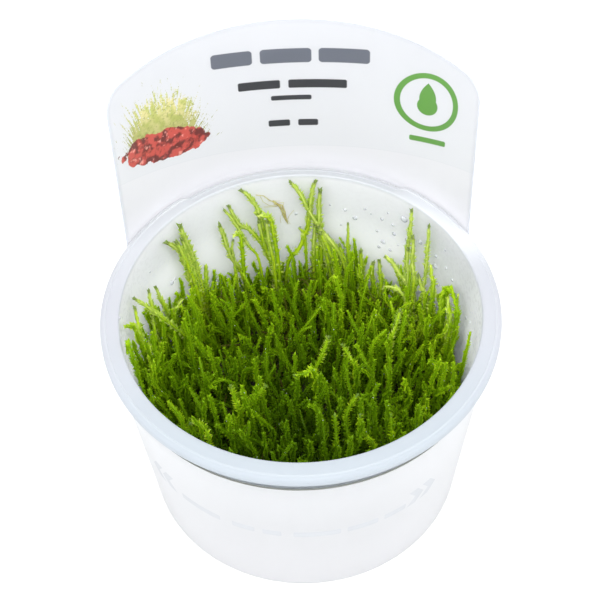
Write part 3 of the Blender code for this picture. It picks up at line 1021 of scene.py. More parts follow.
class Paths:
    # shoots as chains of points, each with what its leaves need to know
    def __init__(self):
        self.points, self.edges = [], []
        self.values = {"along": [], "tone": [], "vigour": [], "fullness": [], "opening": []}

    def add(self, chain, tone, vigour, along=(0.0, 1.0), fullness=1.0,
            tip=crowd["tip"], opening=crowd["opening"]):
        last = len(chain) - 1
        girth, tipLength = tip
        closed, opened, reach = opening
        for i, point in enumerate(chain):
            share, under = i / last, (last - i) * crowd["step"]
            bare = softStep(crowd["leafyLength"], crowd["leafyLength"] + crowd["baring"], under)
            here = {
                "along": along[0] + (along[1] - along[0]) * share,
                "tone": tone,
                "vigour": vigour * (girth + (1.0 - girth) * softStep(0.0, tipLength, under)),
                "fullness": fullness * (1.0 - crowd["bareShare"] * bare),
                "opening": closed + (opened - closed) * softStep(0.0, reach, under),
            }
            for key, number in here.items():
                self.values[key].append(number)
            if i:
                self.edges.append((len(self.points) - 1, len(self.points)))
            self.points.append(point)

    def mesh(self, name):
        mesh = bpy.data.meshes.new(name)
        mesh.from_pydata(self.points, self.edges, [])
        for key, numbers in self.values.items():
            mesh.attributes.new(key, "FLOAT", "POINT").data.foreach_set("value", numbers)
        return mesh


def keepInside(point, gap=crowd["gaps"][0]):
    # no point of a shoot comes nearer to the cup's wall than its leaves allow
    reach = innerWall(point.z) - gap
    flat = Vector((point.x, point.y))
    if flat.length > reach:
        flat *= reach / flat.length
    return Vector((flat.x, flat.y, point.z))


def smoothChain(points, step):
    # points about a step apart along a smooth curve through the given ones
    padded = [points[0] * 2 - points[1]] + list(points) + [points[-1] * 2 - points[-2]]
    fine = []
    for a, b, c, d in zip(padded, padded[1:], padded[2:], padded[3:]):
        count = max(2, math.ceil((c - b).length / step))
        for i in range(count):
            t = i / count
            fine.append(0.5 * (2 * b + (c - a) * t + (2 * a - 5 * b + 4 * c - d) * t * t
                               + (3 * b - a - 3 * c + d) * t ** 3))
    return fine + [points[-1]]


def chainInside(points, step=crowd["step"]):
    return [keepInside(point) for point in smoothChain(points, step)]


def crestHeight(bearing):
    for (low, first), (high, last) in zip(crest, crest[1:]):
        if bearing <= high:
            return (first + (last - first) * max(bearing - low, 0.0) / (high - low)) * millimetre
    return crest[-1][1] * millimetre


def canopyHeight(spot):
    side = abs(spot.x) / cup["mouthRadius"]
    height = crowd["height"] - crowd["fallToBack"] * spot.y + crowd["sideRise"] * side ** 3
    bearing = math.degrees(math.atan2(spot.x, spot.y))
    atWall = softStep(*crowd["toCrest"], math.hypot(spot.x, spot.y))
    atWall *= 1.0 - softStep(*crowd["crestEnds"], abs(bearing))
    return height + (crestHeight(bearing) - height) * atWall


def crowdLean(draw, spot):
    left, right, back = leaning["outwards"]
    lean = Vector(((left if spot.x < 0.0 else right) * spot.x, back * spot.y + leaning["backwards"], 0.0))
    (sideways, sideRate, shift), (backwards, backRate, backShift) = leaning["waves"]
    lean.x += sideways * math.sin(sideRate * spot.y + shift)
    lean.y += backwards * math.sin(backRate * spot.x + backShift)
    return lean + Vector((draw.gauss(0, 1), draw.gauss(0, 1), 0.0)) * leaning["chance"]


def risingChain(draw, foot, tip, bend, wander, hooked):
    # a shoot that starts upright and leans more as it rises, wandering a little
    count = max(4, math.ceil((tip - foot).length / crowd["step"]))
    phases = [draw.uniform(0.0, aboutTurn) for i in range(4)]
    rates = [draw.uniform(*bending["rates"]) for i in range(2)]
    hookTurn, hookReach = draw.uniform(0.0, aboutTurn), draw.uniform(*bending["hookReach"])
    hookStart, hookLength = bending["hook"]
    quickX, quickY = bending["quickRates"]
    quickShare = bending["quickShare"]
    gap, more = crowd["gaps"]
    chain = []
    for i in range(count + 1):
        share = i / count
        flat = (tip - foot) * share ** bend
        sway = wander * min(1.0, share * 2.0)
        point = Vector((foot.x + flat.x, foot.y + flat.y, foot.z + (tip.z - foot.z) * share))
        quick = quickShare * math.sin(quickX * share + phases[2])
        point.x += sway * (math.sin(rates[0] * share + phases[0]) + quick)
        quick = quickShare * math.sin(quickY * share + phases[3])
        point.y += sway * (math.sin(rates[1] * share + phases[1]) + quick)
        if hooked and share > hookStart:
            over = (share - hookStart) / hookLength
            point.x += hookReach * math.cos(hookTurn) * over * over
            point.y += hookReach * math.sin(hookTurn) * over * over
            point.z -= bending["hookDrop"] * hookReach * over * over
        chain.append(keepInside(point, gap + more * softStep(*crowd["gapRight"], point.x)))
    return chain


def addFork(draw, paths, chain, tone, vigour):
    # a side shoot that leaves its parent's upper half
    at = draw.randint(len(chain) // 2, len(chain) - 3)
    heading = (chain[at + 1] - chain[at - 1]).normalized()
    turn, length = draw.uniform(0.0, aboutTurn), draw.uniform(*forks["length"])
    out = Vector((math.cos(turn), math.sin(turn), 0.0))
    kneeOut, kneeAlong = forks["knee"]
    endAlong, endOut = forks["end"]
    points = [chain[at], chain[at] + (heading + out * kneeOut) * length * kneeAlong]
    points.append(chain[at] + (heading * endAlong + out * endOut) * length)
    paths.add(chainInside(points), tone, vigour * forks["vigour"], forks["along"])


def crowdSpots(draw):
    # where the shoots stand, and how far under the canopy they may end: rows of a triangular grid, then more
    # along the wall and along its back
    edge = crowd["edge"]
    reach = innerWall(crowd["footHeight"]) - edge
    rowStep = crowd["spacing"] * math.sqrt(0.75)
    rows, columns = math.ceil(reach / rowStep), math.ceil(reach / crowd["spacing"]) + 1
    for row in range(-rows, rows + 1):
        for column in range(-columns, columns + 1):
            across = (column + 0.5 * (row % 2)) * crowd["spacing"]
            spot = Vector((across, row * rowStep, 0.0))
            spot += Vector((draw.uniform(-1, 1), draw.uniform(-1, 1), 0.0)) * crowd["jitter"]
            if spot.length < reach:
                yield spot, crowd["depth"]
    for i in range(crowd["wallShoots"]):
        bearing = 360.0 * (i + draw.uniform(-0.4, 0.4)) / crowd["wallShoots"]
        yield around(reach - draw.uniform(0.0, edge), bearing, 0.0), crowd["depth"]
    for i in range(crowd["backShoots"]):
        radius = reach - draw.uniform(0.0, crowd["backWidth"])
        yield around(radius, draw.uniform(*crowd["backBearings"]), 0.0), crowd["backDepth"]


# tall shoots seen against the wall: photograph's pixels from the tip down, the gap to the wall at the tip and
# at the lowest pixel, in millimetres, and how light and how thick the shoot is
tallShoots = (
    (((180, 227), (186, 241), (192, 255), (198, 272), (203, 290)), (1.6, 2.6), 1.00, 1.35),
    (((167, 243), (175, 247), (181, 254), (186, 267), (192, 286), (198, 303)), (1.6, 2.6), 0.95, 1.25),
    (((177, 243), (183, 254), (189, 268), (197, 290)), (2.6, 3.4), 0.85, 1.30),
    (((182, 240), (187, 252), (193, 268), (199, 286)), (2.2, 3.0), 0.90, 1.15),
    (((206, 268), (206, 278), (207, 292)), (2.2, 3.0), 0.60, 1.30),
    (((220, 226), (224, 238), (230, 254), (237, 266), (243, 276)), (1.6, 2.6), 1.20, 1.15),
    (((229, 207), (234, 216), (239, 225), (247, 228), (256, 236), (263, 246), (268, 257), (273, 266)),
     (1.6, 3.0), 0.95, 1.10),
    (((225, 211), (229, 215), (235, 223), (242, 235), (250, 248), (259, 260)), (1.8, 3.2), 1.05, 0.85),
    (((235, 235), (238, 233), (241, 238), (242, 248), (243, 259), (244, 272)), (4.0, 5.2), 0.45, 1.10),
    (((233, 241), (232, 249), (234, 260)), (2.0, 2.6), 1.10, 0.75),
    (((242, 191), (249, 196), (256, 206), (261, 218), (264, 232), (269, 247), (274, 262)),
     (1.5, 2.4), 0.90, 1.20),
    (((261, 216), (266, 215), (270, 219), (273, 230), (275, 243), (278, 260)), (3.2, 4.4), 0.75, 1.30),
    (((259, 222), (262, 236), (267, 252), (273, 268)), (2.8, 3.6), 0.95, 1.20),
    (((267, 222), (268, 236), (271, 250), (274, 264)), (3.8, 4.6), 1.10, 1.10),
    (((291, 181), (297, 189), (303, 199), (309, 211), (315, 220), (321, 230), (329, 244), (337, 256)),
     (1.6, 3.2), 1.25, 1.10),
    (((315, 180), (312, 192), (310, 208), (308, 225), (303, 240), (297, 252), (288, 263)),
     (1.6, 2.6), 0.90, 1.25),
    (((320, 192), (319, 204), (319, 216), (320, 230), (321, 246)), (1.8, 2.4), 1.00, 1.35),
    (((300, 229), (303, 233), (305, 240)), (2.2, 2.6), 0.70, 0.80),
    (((315, 226), (314, 240), (314, 254), (314, 266)), (2.2, 2.8), 1.25, 1.25),
    (((317, 249), (317, 260), (318, 274)), (3.6, 4.2), 0.55, 1.35),
    (((319, 228), (323, 242), (327, 256), (330, 272), (332, 288)), (3.0, 4.0), 1.05, 1.20),
    (((321, 229), (329, 239), (337, 249), (343, 261), (346, 278)), (2.6, 3.6), 1.10, 1.20),
    (((321, 234), (328, 248), (334, 262), (338, 280)), (3.4, 4.4), 0.80, 1.35),
    (((348, 224), (348, 238), (347, 247), (349, 260)), (2.2, 3.0), 0.80, 0.75),
    (((340, 246), (343, 256), (347, 268)), (2.8, 3.4), 0.90, 1.10),
    (((361, 252), (361, 262), (362, 276)), (2.8, 3.2), 0.80, 1.20),
    (((373, 264), (372, 274), (373, 286)), (2.6, 3.2), 0.85, 1.20),
    (((379, 262), (380, 272), (381, 286)), (3.0, 3.6), 0.85, 1.20),
    (((387, 258), (392, 262), (399, 272), (406, 281), (412, 290)), (2.6, 3.4), 0.85, 1.25),
    (((384, 288), (392, 287), (400, 291), (406, 301), (408, 314)), (4.6, 6.0), 1.00, 1.05),
    (((412, 206), (411, 221), (409, 238), (406, 259), (404, 276)), (1.5, 2.4), 1.20, 1.00),
    (((413, 238), (413, 250), (412, 266), (414, 280)), (3.2, 4.0), 1.05, 1.15),
    (((408, 250), (407, 264), (408, 282)), (3.2, 3.8), 1.20, 1.10),
    (((429, 227), (428, 242), (427, 255), (426, 269), (424, 284)), (1.5, 2.4), 1.15, 0.98),
    (((431, 268), (432, 279), (433, 293)), (3.2, 3.8), 0.50, 1.25),
    (((419, 277), (422, 290), (425, 302)), (3.0, 3.4), 0.85, 1.20),
    (((439, 296), (446, 289), (451, 290), (455, 300), (457, 312), (456, 324)), (2.0, 3.0), 0.00, 1.10),
    (((441, 324), (441, 310), (443, 299), (447, 291)), (3.4, 3.0), 0.05, 1.15),
    (((448, 300), (449, 312), (450, 326)), (3.4, 3.8), 0.60, 1.25),
    (((458, 296), (457, 306), (455, 320)), (1.6, 2.2), 0.55, 0.85),
    (((470, 334), (468, 343), (465, 356)), (1.4, 1.8), 0.35, 0.90),
    (((156, 288), (162, 302), (171, 320)), (2.0, 3.0), 0.95, 1.10),
    (((149, 292), (151, 303), (155, 316)), (1.8, 2.6), 0.95, 1.05),
    (((135, 299), (146, 306), (160, 316), (176, 328), (192, 346)), (1.7, 9.0), 1.15, 1.10),
    (((135, 309), (138, 323), (142, 340)), (1.7, 2.4), 0.90, 1.10),
    (((125, 322), (130, 327), (137, 334)), (1.6, 2.2), 0.60, 0.95),
    (((122, 330), (128, 342), (133, 360)), (1.3, 1.8), 0.15, 0.90),
    (((153, 319), (155, 332), (158, 346)), (3.0, 3.6), 0.70, 1.15),
    (((181, 301), (177, 308), (175, 318)), (3.0, 3.4), 0.75, 1.10),
    (((149, 344), (150, 356), (152, 370)), (3.4, 4.2), 0.70, 1.10),
)


def wallSpot(across, down, gap):
    # where a pixel's ray meets the far inner wall, moved inwards by gap
    start, ray = rayThrough(across, down)
    draft = cup["draft"]
    base = cup["mouthRadius"] - draft * cup["height"] - gap + draft * start.z
    a = ray.x ** 2 + ray.y ** 2 - (draft * ray.z) ** 2
    b = 2.0 * (start.x * ray.x + start.y * ray.y - base * draft * ray.z)
    c = start.x ** 2 + start.y ** 2 - base ** 2
    inside = max(b * b - 4.0 * a * c, 0.0)
    return start + ray * ((-b + math.sqrt(inside)) / (2.0 * a))


footing = {
    "inwards": 0.93,          # how far out a tall shoot's foot is, against its lowest seen point
    "onwards": 0.004,
    "gap": 0.002,
}


def rooted(points, foot):
    # a chain from the moss's foot up to the tip, for points given from the tip down
    foot = keepInside(Vector((foot.x, foot.y, crowd["footHeight"])), footing["gap"])
    return chainInside([foot] + points[::-1])


def addTallShoots(sectors):
    for pixels, (tipGap, lowGap), tone, girth in tallShoots:
        last = len(pixels) - 1
        points = []
        for i, (across, down) in enumerate(pixels):
            spot = wallSpot(across, down, (tipGap + (lowGap - tipGap) * i / last) * millimetre)
            points.append(Vector((spot.x, spot.y, min(spot.z, crowd["tallLimit"]))))
        low = points[-1]
        foot = low * footing["inwards"] + (low - points[-2]).normalized() * footing["onwards"]
        girth *= crowd["tallGirth"]
        chain = rooted(points, foot)
        sectors[sectorOf(low)].add(chain, tone, girth, tip=crowd["tallTip"], opening=crowd["tallOpening"])


# leafy shoots that stand out in front: pixels from the tip down, with the tip's height in millimetres
frontShoots = (
    (((265, 387), (253, 400), (240, 414), (239, 432), (248, 450)), 47.0),
    (((231, 387), (236, 401), (240, 414)), 47.0),
    (((328, 338), (322, 356), (315, 373), (334, 395), (345, 410)), 46.0),
    (((296, 375), (306, 374), (315, 373)), 44.5),
    (((357, 396), (347, 412), (347, 430), (350, 452)), 47.5),
    (((360, 416), (360, 427), (367, 438), (374, 448)), 47.0),
    (((335, 416), (336, 434), (337, 455)), 46.5),
    (((343, 346), (349, 356), (356, 372)), 45.0),
    (((400, 311), (396, 326), (390, 345)), 45.0),
    (((192, 423), (200, 423), (207, 432), (210, 446)), 48.0),
    (((391, 416), (392, 430), (392, 446)), 47.0),
)

frontLook = {
    "slope": (0.62, 0.00030, 0.0006),     # fall for the way down, metres to a pixel, and the least fall
    "tone": (0.66, 0.95),
    "girth": 1.36,
}


def addFrontShoots(draw, sectors):
    share, pixel, least = frontLook["slope"]
    for pixels, tipHeight in frontShoots:
        height = tipHeight * millimetre
        points = []
        for i, (across, down) in enumerate(pixels):
            if i:
                height -= share * (down - pixels[i - 1][1]) * pixel + least
            points.append(levelSpot(across, down, height))
        low = points[-1]
        tone = draw.uniform(*frontLook["tone"])
        sectors[sectorOf(low)].add(rooted(points, low), tone, frontLook["girth"], opening=crowd["frilled"])


sectorNames = ("mossBackLeft", "mossBackRight", "mossLeft", "mossMiddle", "mossRight", "mossFront")


def sectorOf(spot):
    middle, back, front = 0.018, 62.0, 130.0      # radius of the middle, and bearings where the others meet
    if math.hypot(spot.x, spot.y) < middle:
        return "mossMiddle"
    bearing = math.degrees(math.atan2(spot.x, spot.y))
    if abs(bearing) < back:
        return "mossBackRight" if bearing > 0.0 else "mossBackLeft"
    if abs(bearing) > front:
        return "mossFront"
    return "mossRight" if bearing > 0.0 else "mossLeft"


def plantMoss():
    draw = random.Random(crowd["seed"])
    sectors = {name: Paths() for name in sectorNames}
    addTallShoots(sectors)
    addFrontShoots(draw, sectors)
    least, byChance, lightByDepth = crowd["tone"]
    for spot, depth in crowdSpots(draw):
        foot = Vector((spot.x, spot.y, crowd["footHeight"]))
        tone, vigour = draw.random() ** 1.8, draw.uniform(*crowd["vigour"])
        share = draw.random() ** 0.75
        height = canopyHeight(spot) - depth * share
        if draw.random() < crowd["emergentShare"]:
            share, height = 0.0, canopyHeight(spot) + crowd["emergentRise"] * draw.random()
        lean = crowdLean(draw, spot)
        tip = Vector((spot.x + lean.x, spot.y + lean.y, min(height, crowd["limit"])))
        hooked = draw.random() < bending["hookShare"]
        bend = draw.uniform(*bending["bend"])
        wander = bending["wander"] * draw.uniform(*bending["wanderShare"])
        chain = risingChain(draw, foot, tip, bend, wander, hooked)
        # shoots that end low are painted lighter, against the shade down there
        tone = least + byChance * tone + lightByDepth * share
        paths = sectors[sectorOf(spot)]
        paths.add(chain, tone, vigour, fullness=1.0 - crowd["thinning"] * share)
        if draw.random() < forks["share"]:
            addFork(draw, paths, chain, tone, vigour)
    return sectors


leafLook = {
    "length": 0.00098,
    "pitch": 0.000132,
    "spread": 0.80,           # radians between leaf and stem
    "stemRadius": 0.00030,    # stem and the leaf feet that wrap it
    "stemPitch": 0.0020,
    "budRadius": 0.00033,
    "seed": 3,
}

leafShape = {
    "widest": 0.42,           # how far along, for a leaf of unit length
    "halfWidth": 0.23,
    "rimLift": 0.12,
    "keel": -0.06,
    "tipLift": 0.02,
}


def leafMesh():
    # one leaf, a unit long, keeled and cupped towards its stem
    mesh = bpy.data.meshes.new("leafDraft")
    widest, half, lift = leafShape["widest"], leafShape["halfWidth"], leafShape["rimLift"]
    across = [(-half, widest, lift), (0.0, widest, leafShape["keel"]), (half, widest, lift)]
    points = [(0.0, 0.0, 0.0)] + across + [(0.0, 1.0, leafShape["tipLift"])]
    mesh.from_pydata(points, [], [(0, 2, 1), (0, 3, 2), (1, 2, 4), (2, 3, 4)])
    blade = [point[1] for point in points]
    mesh.attributes.new("blade", "FLOAT", "POINT").data.foreach_set("value", blade)
    mesh.shade_smooth()
    return linkThing("leafDraft", mesh)


def ballDraft(name, subdivisions, stretch=1.0, lift=0.0):
    # a ball, a unit in radius, for buds and drops
    shape = bmesh.new()
    bmesh.ops.create_icosphere(shape, subdivisions=subdivisions, radius=1.0)
    for vert in shape.verts:
        vert.co.z = vert.co.z * stretch + lift
    return linkThing(name, smoothMesh(name, shape))


def leafyTree():
    growth = Growth("leafyShoots", {
        "Paths": "Geometry", "Leaf": "Object", "Bud": "Object", "Leaf Length": "Float", "Leaf Pitch": "Float",
        "Leaf Spread": "Float", "Stem Radius": "Float", "Stem Pitch": "Float", "Bud Radius": "Float",
        "Seed": "Int", "Material": "Material"})
    given, node = growth.given, growth.node

    def chance(low, high, seedShift):
        seed = node("FunctionNodeIntegerMath", {"operation": "ADD"}, {0: given["Seed"], 1: seedShift})
        return node("FunctionNodeRandomValue", {"data_type": "FLOAT"}, {2: low, 3: high, "Seed": seed}, 1)

    def resampled(length):
        return node("GeometryNodeResampleCurve", {"mode": "LENGTH"}, {"Curve": curves, "Length": length})

    def turnedBy(rotation, axis, angle):
        turn = node("FunctionNodeAxisAngleToRotation", {}, {"Axis": axis, "Angle": angle})
        both = {"Rotation": rotation, "Rotate By": turn}
        return node("FunctionNodeRotateRotation", {"rotation_space": "LOCAL"}, both)

    def geometryOf(part):
        return node("GeometryNodeObjectInfo", {}, {"Object": given[part]}, "Geometry")

    curves = node("GeometryNodeMeshToCurve", {}, {"Mesh": given["Paths"]})
    leafy = resampled(given["Leaf Pitch"])
    tangent = node("GeometryNodeInputTangent", {}, {})
    upright = node("FunctionNodeAlignRotationToVector", {"axis": "Z"}, {"Vector": tangent})
    threeRows = 2.0944 + 0.05      # radians from leaf to leaf: three rows that twist slowly
    turn = growth.product(node("GeometryNodeInputIndex", {}, {}), threeRows)
    facing = turnedBy(upright, (0.0, 0.0, 1.0), growth.maths("ADD", turn, chance(-0.25, 0.25, 1)))
    spread = growth.product(given["Leaf Spread"], growth.named("opening"), chance(0.70, 1.40, 2))
    pose = turnedBy(facing, (1.0, 0.0, 0.0), growth.maths("SUBTRACT", math.pi / 2.0, spread))
    kept = node("FunctionNodeCompare", {"data_type": "FLOAT", "operation": "LESS_THAN"},
                {0: chance(0.0, 1.0, 4), 1: growth.named("fullness")})
    leaves = node("GeometryNodeInstanceOnPoints", {}, {
        "Points": leafy, "Selection": kept, "Instance": geometryOf("Leaf"), "Rotation": pose,
        "Scale": growth.product(given["Leaf Length"], growth.named("vigour"), chance(0.85, 1.12, 3))})
    atTip = node("GeometryNodeCurveEndpointSelection", {}, {"Start Size": 0, "End Size": 1}, "Selection")
    buds = node("GeometryNodeInstanceOnPoints", {}, {
        "Points": leafy, "Selection": atTip, "Instance": geometryOf("Bud"), "Rotation": upright,
        "Scale": growth.product(given["Bud Radius"], growth.named("vigour"))})
    tinted = node("GeometryNodeStoreNamedAttribute", {"data_type": "FLOAT", "domain": "INSTANCE"}, {
        "Geometry": growth.joined(buds, leaves), "Name": "tint", "Value": chance(0.0, 1.0, 5)})
    ring = node("GeometryNodeCurvePrimitiveCircle", {"mode": "RADIUS"}, {"Resolution": 4, "Radius": 1.0})
    stems = node("GeometryNodeCurveToMesh", {}, {
        "Curve": resampled(given["Stem Pitch"]), "Profile Curve": ring, "Fill Caps": True,
        "Scale": growth.product(growth.named("vigour"), given["Stem Radius"])})
    return growth.close(growth.joined(stems, tinted))


def grown(name, paths, tree, parts, material, look):
    leaf, bud = parts
    return grownMesh(name, paths.mesh(name + "Paths"), tree, {
        "Leaf": leaf, "Bud": bud, "Leaf Length": look["length"], "Leaf Pitch": look["pitch"],
        "Leaf Spread": look["spread"], "Stem Radius": look["stemRadius"], "Stem Pitch": look["stemPitch"],
        "Bud Radius": look["budRadius"], "Seed": look["seed"], "Material": material})


mossColour = {
    "stops": (
        (0.00, (0.028, 0.054, 0.001)),
        (0.30, (0.096, 0.200, 0.001)),
        (0.60, (0.245, 0.430, 0.004)),
        (0.82, (0.500, 0.730, 0.012)),
        (0.93, (0.680, 0.870, 0.035)),
        (1.00, (0.840, 0.950, 0.230)),
    ),
    "heights": (0.018, 0.056),        # between which the leaves turn lighter: fresher growth higher up, and painted light on the top of the moss
    "old": (0.130, 0.105, 0.018),
    "oldShare": (0.12, 0.46, 0.0, 0.7),
    "oldBehind": (0.005, 0.035, 0.0, 0.12),
    "bud": (0.085, 0.150, 0.045),
    "roughness": (0.28, 0.60),
    "glow": (0.27, 0.42),             # in the deepest and in the freshest leaves
    "glowColour": (0.40, 0.66, 0.012),
}


def mossGreen(name, age):
    # age 0 is fresh, 1 is old and brown
    paint = Finish(name)
    x, y, z = paint.axes()
    along, tone, tint, blade = (paint.attribute(key) for key in ("along", "tone", "tint", "blade"))
    height = z.ramp(*mossColour["heights"])
    # lighter higher up: fresher growth, and painted light on the top of the moss
    fresh = along * 0.14 + height * 0.24 + tone.spread(0.34) + tint.spread(0.12) + 0.19
    fresh = fresh + blade * (tone * 0.34 + 0.05)
    fresh = fresh + paint.noise(120.0, 2.0).spread(0.32) - age * 0.45
    # painted light: the moss lighter towards the back, towards both sides and most on the right
    fresh = fresh + y * 5.0 + y.most(0.0) * 4.0 + abs(x) * 5.4 + x.most(0.0) * 2.2
    fresh = fresh.most(0.0).least(1.0)
    colour = paint.colourRamp(fresh, mossColour["stops"])
    brown = (1.0 - height) * 0.30 + paint.noise(70.0).spread(1.2) - along * 0.45 + age * 0.6
    brown = (brown + y.ramp(*mossColour["oldBehind"])).ramp(*mossColour["oldShare"])
    colour = paint.mixColour(brown, colour, mossColour["old"])
    bud = along.ramp(0.975, 1.0) * tone.ramp(0.45, 0.85) * 0.85
    colour = paint.mixColour(bud, colour, mossColour["bud"])
    low, high = mossColour["glow"]
    glow = (fresh * (high - low) + low) * (1.0 - brown) * (1.0 - bud * 0.6)
    return paint.finish({
        "Base Color": colour,
        "Roughness": paint.noise(1500.0, 1.0).ramp(0.35, 0.65, *mossColour["roughness"]),
        "Specular IOR Level": 0.16,
    }, glow, mossColour["glowColour"])


def linkMoss(name, paths, tree, parts, material):
    mesh = grown(name, paths, tree, parts, material, leafLook)
    triangles = sum(len(polygon.vertices) - 2 for polygon in mesh.polygons)
    print(name, len(paths.points), "path points,", triangles, "triangles")
    linkPiece(name, mesh, ("moss",))


def makeMoss(tree, parts, sectors):
    material = mossGreen("mossGreen", 0.0)
    for name in sectorNames:
        linkMoss(name, sectors[name], tree, parts, material)


# the mat of old stems at the foot of the shoots

mat = {
    "top": 0.0142,
    "bottom": 0.0116,
    "swell": 0.0022,
    "gap": 0.0006,            # kept to the wall
    "rings": 26,
    "columns": 90,
    "stems": 140,
    "stemReach": 0.036,
    "stemBand": (0.0135, 0.0235),
    "stemLength": (0.006, 0.016),
    "tangleLength": (0.0025, 0.0055),
    "soil": (0.010, 0.018, 0.003),
    "fibre": (0.050, 0.060, 0.010),
    "patch": (0.070, 0.045, 0.012),
    "seed": 5,
}

stemLook = {
    "depth": 1.0, "rise": (-0.1, 0.5), "lift": 0.0, "bend": 0.35, "step": crowd["step"],
    "girth": (0.6, 0.85), "along": (0.1, 0.7), "fullness": 0.6,
}

tangleLook = {
    "depth": 0.5, "rise": (-0.4, 0.6), "lift": 0.4, "bend": 0.9, "step": 0.0008,
    "girth": (0.35, 0.6), "along": (0.0, 0.5), "fullness": 0.5,
}


def matMesh():
    draw = random.Random(mat["seed"])
    phases = [draw.uniform(0.0, aboutTurn) for i in range(5)]

    def topAt(x, y):
        # broad, slanting and small waves, one on another
        broad = math.sin(420 * x + phases[0]) * math.cos(380 * y + phases[1])
        slanting = 0.6 * math.sin(900 * x + 700 * y + phases[2])
        small = 0.3 * math.sin(1700 * y + phases[3]) * math.sin(1500 * x + phases[4])
        return mat["top"] + mat["swell"] * 0.5 * (broad + slanting + small)

    def ringOf(radius, heightAt):
        spots = [around(radius, 360.0 * i / mat["columns"], 0.0) for i in range(mat["columns"])]
        return [shape.verts.new((spot.x, spot.y, heightAt(spot.x, spot.y))) for spot in spots]

    shape = bmesh.new()
    centre = shape.verts.new((0.0, 0.0, topAt(0.0, 0.0)))
    reach = innerWall(mat["top"]) - mat["gap"]
    rings = [ringOf(reach * ring / mat["rings"], topAt) for ring in range(1, mat["rings"] + 1)]
    rings.append(ringOf(innerWall(mat["bottom"]) - mat["gap"], lambda x, y: mat["bottom"]))
    bottom = shape.verts.new((0.0, 0.0, mat["bottom"]))
    for i in range(mat["columns"]):
        j = (i + 1) % mat["columns"]
        shape.faces.new((centre, rings[0][i], rings[0][j]))
        shape.faces.new((bottom, rings[-1][i], rings[-1][j]))
        for inner, outer in zip(rings, rings[1:]):
            shape.faces.new((inner[i], outer[i], outer[j], inner[j]))
    bmesh.ops.recalc_face_normals(shape, faces=shape.faces)
    return smoothMesh("mossMat", shape)


def feltedMat():
    paint = Finish("feltedMat")
    tangle = paint.noise(900.0, 4.0)
    colour = paint.mixColour(tangle.ramp(0.35, 0.65), mat["soil"], mat["fibre"])
    colour = paint.mixColour(paint.noise(110.0).ramp(0.5, 0.7, 0.0, 0.8), colour, mat["patch"])
    return paint.finish({"Base Color": colour, "Roughness": tangle.ramp(0.3, 0.7, 0.4, 0.7),
                         "Normal": paint.bump(tangle, 0.0006, 0.9)})


# where brown old stems show between the shoots: pixel, height, how many and how far they spread
oldTangles = (
    ((312, 284), 0.0310, 10, 0.0030),
    ((380, 305), 0.0320, 6, 0.0026),
    ((222, 300), 0.0310, 6, 0.0026),
)

# a torn old thread stuck to the wall, and its hairs: pixels, thickness in millimetres
strayThreads = (
    (((256, 195), (262, 195), (269, 200), (275, 203), (280, 207), (284, 215), (288, 224)), 0.13),
    (((273, 201), (280, 206), (283, 214), (287, 222)), 0.27),
    (((274, 204), (280, 203), (284, 209), (286, 219)), 0.20),
    (((260, 196), (264, 203), (271, 206), (278, 206)), 0.07),
    (((264, 207), (270, 208), (275, 205), (280, 206)), 0.07),
    (((268, 201), (273, 199), (277, 200), (280, 201)), 0.07),
    (((279, 203), (281, 200), (284, 203), (282, 209)), 0.07),
    (((287, 221), (290, 214), (294, 210)), 0.06),
    (((283, 212), (280, 218), (281, 223)), 0.05),
    (((286, 217), (291, 219), (290, 224)), 0.06),
)

threadFinish = {
    "pale": (0.72, 0.69, 0.30),
    "brown": (0.52, 0.43, 0.15),
    "glowColour": (0.86, 0.84, 0.50),
    "gap": 0.0003,
    "step": 0.0008,
}


def driedThread():
    paint = Finish("driedThread")
    share = paint.noise(900.0, 2.0).ramp(0.4, 0.6)
    colour = paint.mixColour(share, threadFinish["pale"], threadFinish["brown"])
    return paint.finish({"Base Color": colour, "Roughness": 0.45}, 0.4, threadFinish["glowColour"])


def makeStrayThread(tree, parts):
    paths = Paths()
    for pixels, thickness in strayThreads:
        points = [wallSpot(across, down, threadFinish["gap"]) for across, down in pixels]
        paths.add(smoothChain(points, threadFinish["step"]), 1.0, thickness, fullness=0.0)
    look = dict(leafLook, stemRadius=millimetre, budRadius=0.5 * millimetre)
    linkPiece("strayThread", grown("strayThread", paths, tree, parts, driedThread(), look))


def layStem(draw, paths, start, heading, length, look):
    # an old stem that bends once on its way
    ahead = Vector((math.cos(heading), look["depth"] * math.sin(heading), draw.uniform(*look["rise"])))
    side = Vector((-ahead.y, ahead.x, look["lift"])) * draw.uniform(-look["bend"], look["bend"])
    points = [start, start + (ahead + side) * length * 0.5, start + ahead * length]
    chain = chainInside(points, look["step"])
    paths.add(chain, draw.random(), draw.uniform(*look["girth"]), look["along"], look["fullness"])


def makeMat(tree, parts):
    mesh = matMesh()
    mesh.materials.append(feltedMat())
    linkPiece("mossMat", mesh, ("moss",))
    draw = random.Random(mat["seed"] + 1)
    paths = Paths()
    for i in range(mat["stems"]):
        radius, bearing = mat["stemReach"] * math.sqrt(draw.random()), draw.uniform(-180.0, 180.0)
        heading, length = draw.uniform(0.0, aboutTurn), draw.uniform(*mat["stemLength"])
        start = around(radius, bearing, draw.uniform(*mat["stemBand"]))
        layStem(draw, paths, start, heading, length, stemLook)
    for (across, down), height, count, spread in oldTangles:
        middle = levelSpot(across, down, height)
        for i in range(count):
            shift = Vector((draw.gauss(0, 1), draw.gauss(0, 1), draw.uniform(-0.8, 0.2)))
            start = middle + shift * spread * 0.6
            heading, length = draw.uniform(0.0, aboutTurn), draw.uniform(*mat["tangleLength"])
            layStem(draw, paths, start, heading, length, tangleLook)
    linkMoss("mossOldStems", paths, tree, parts, mossGreen("mossOld", 1.0))


# water left on the wall and on the shoots

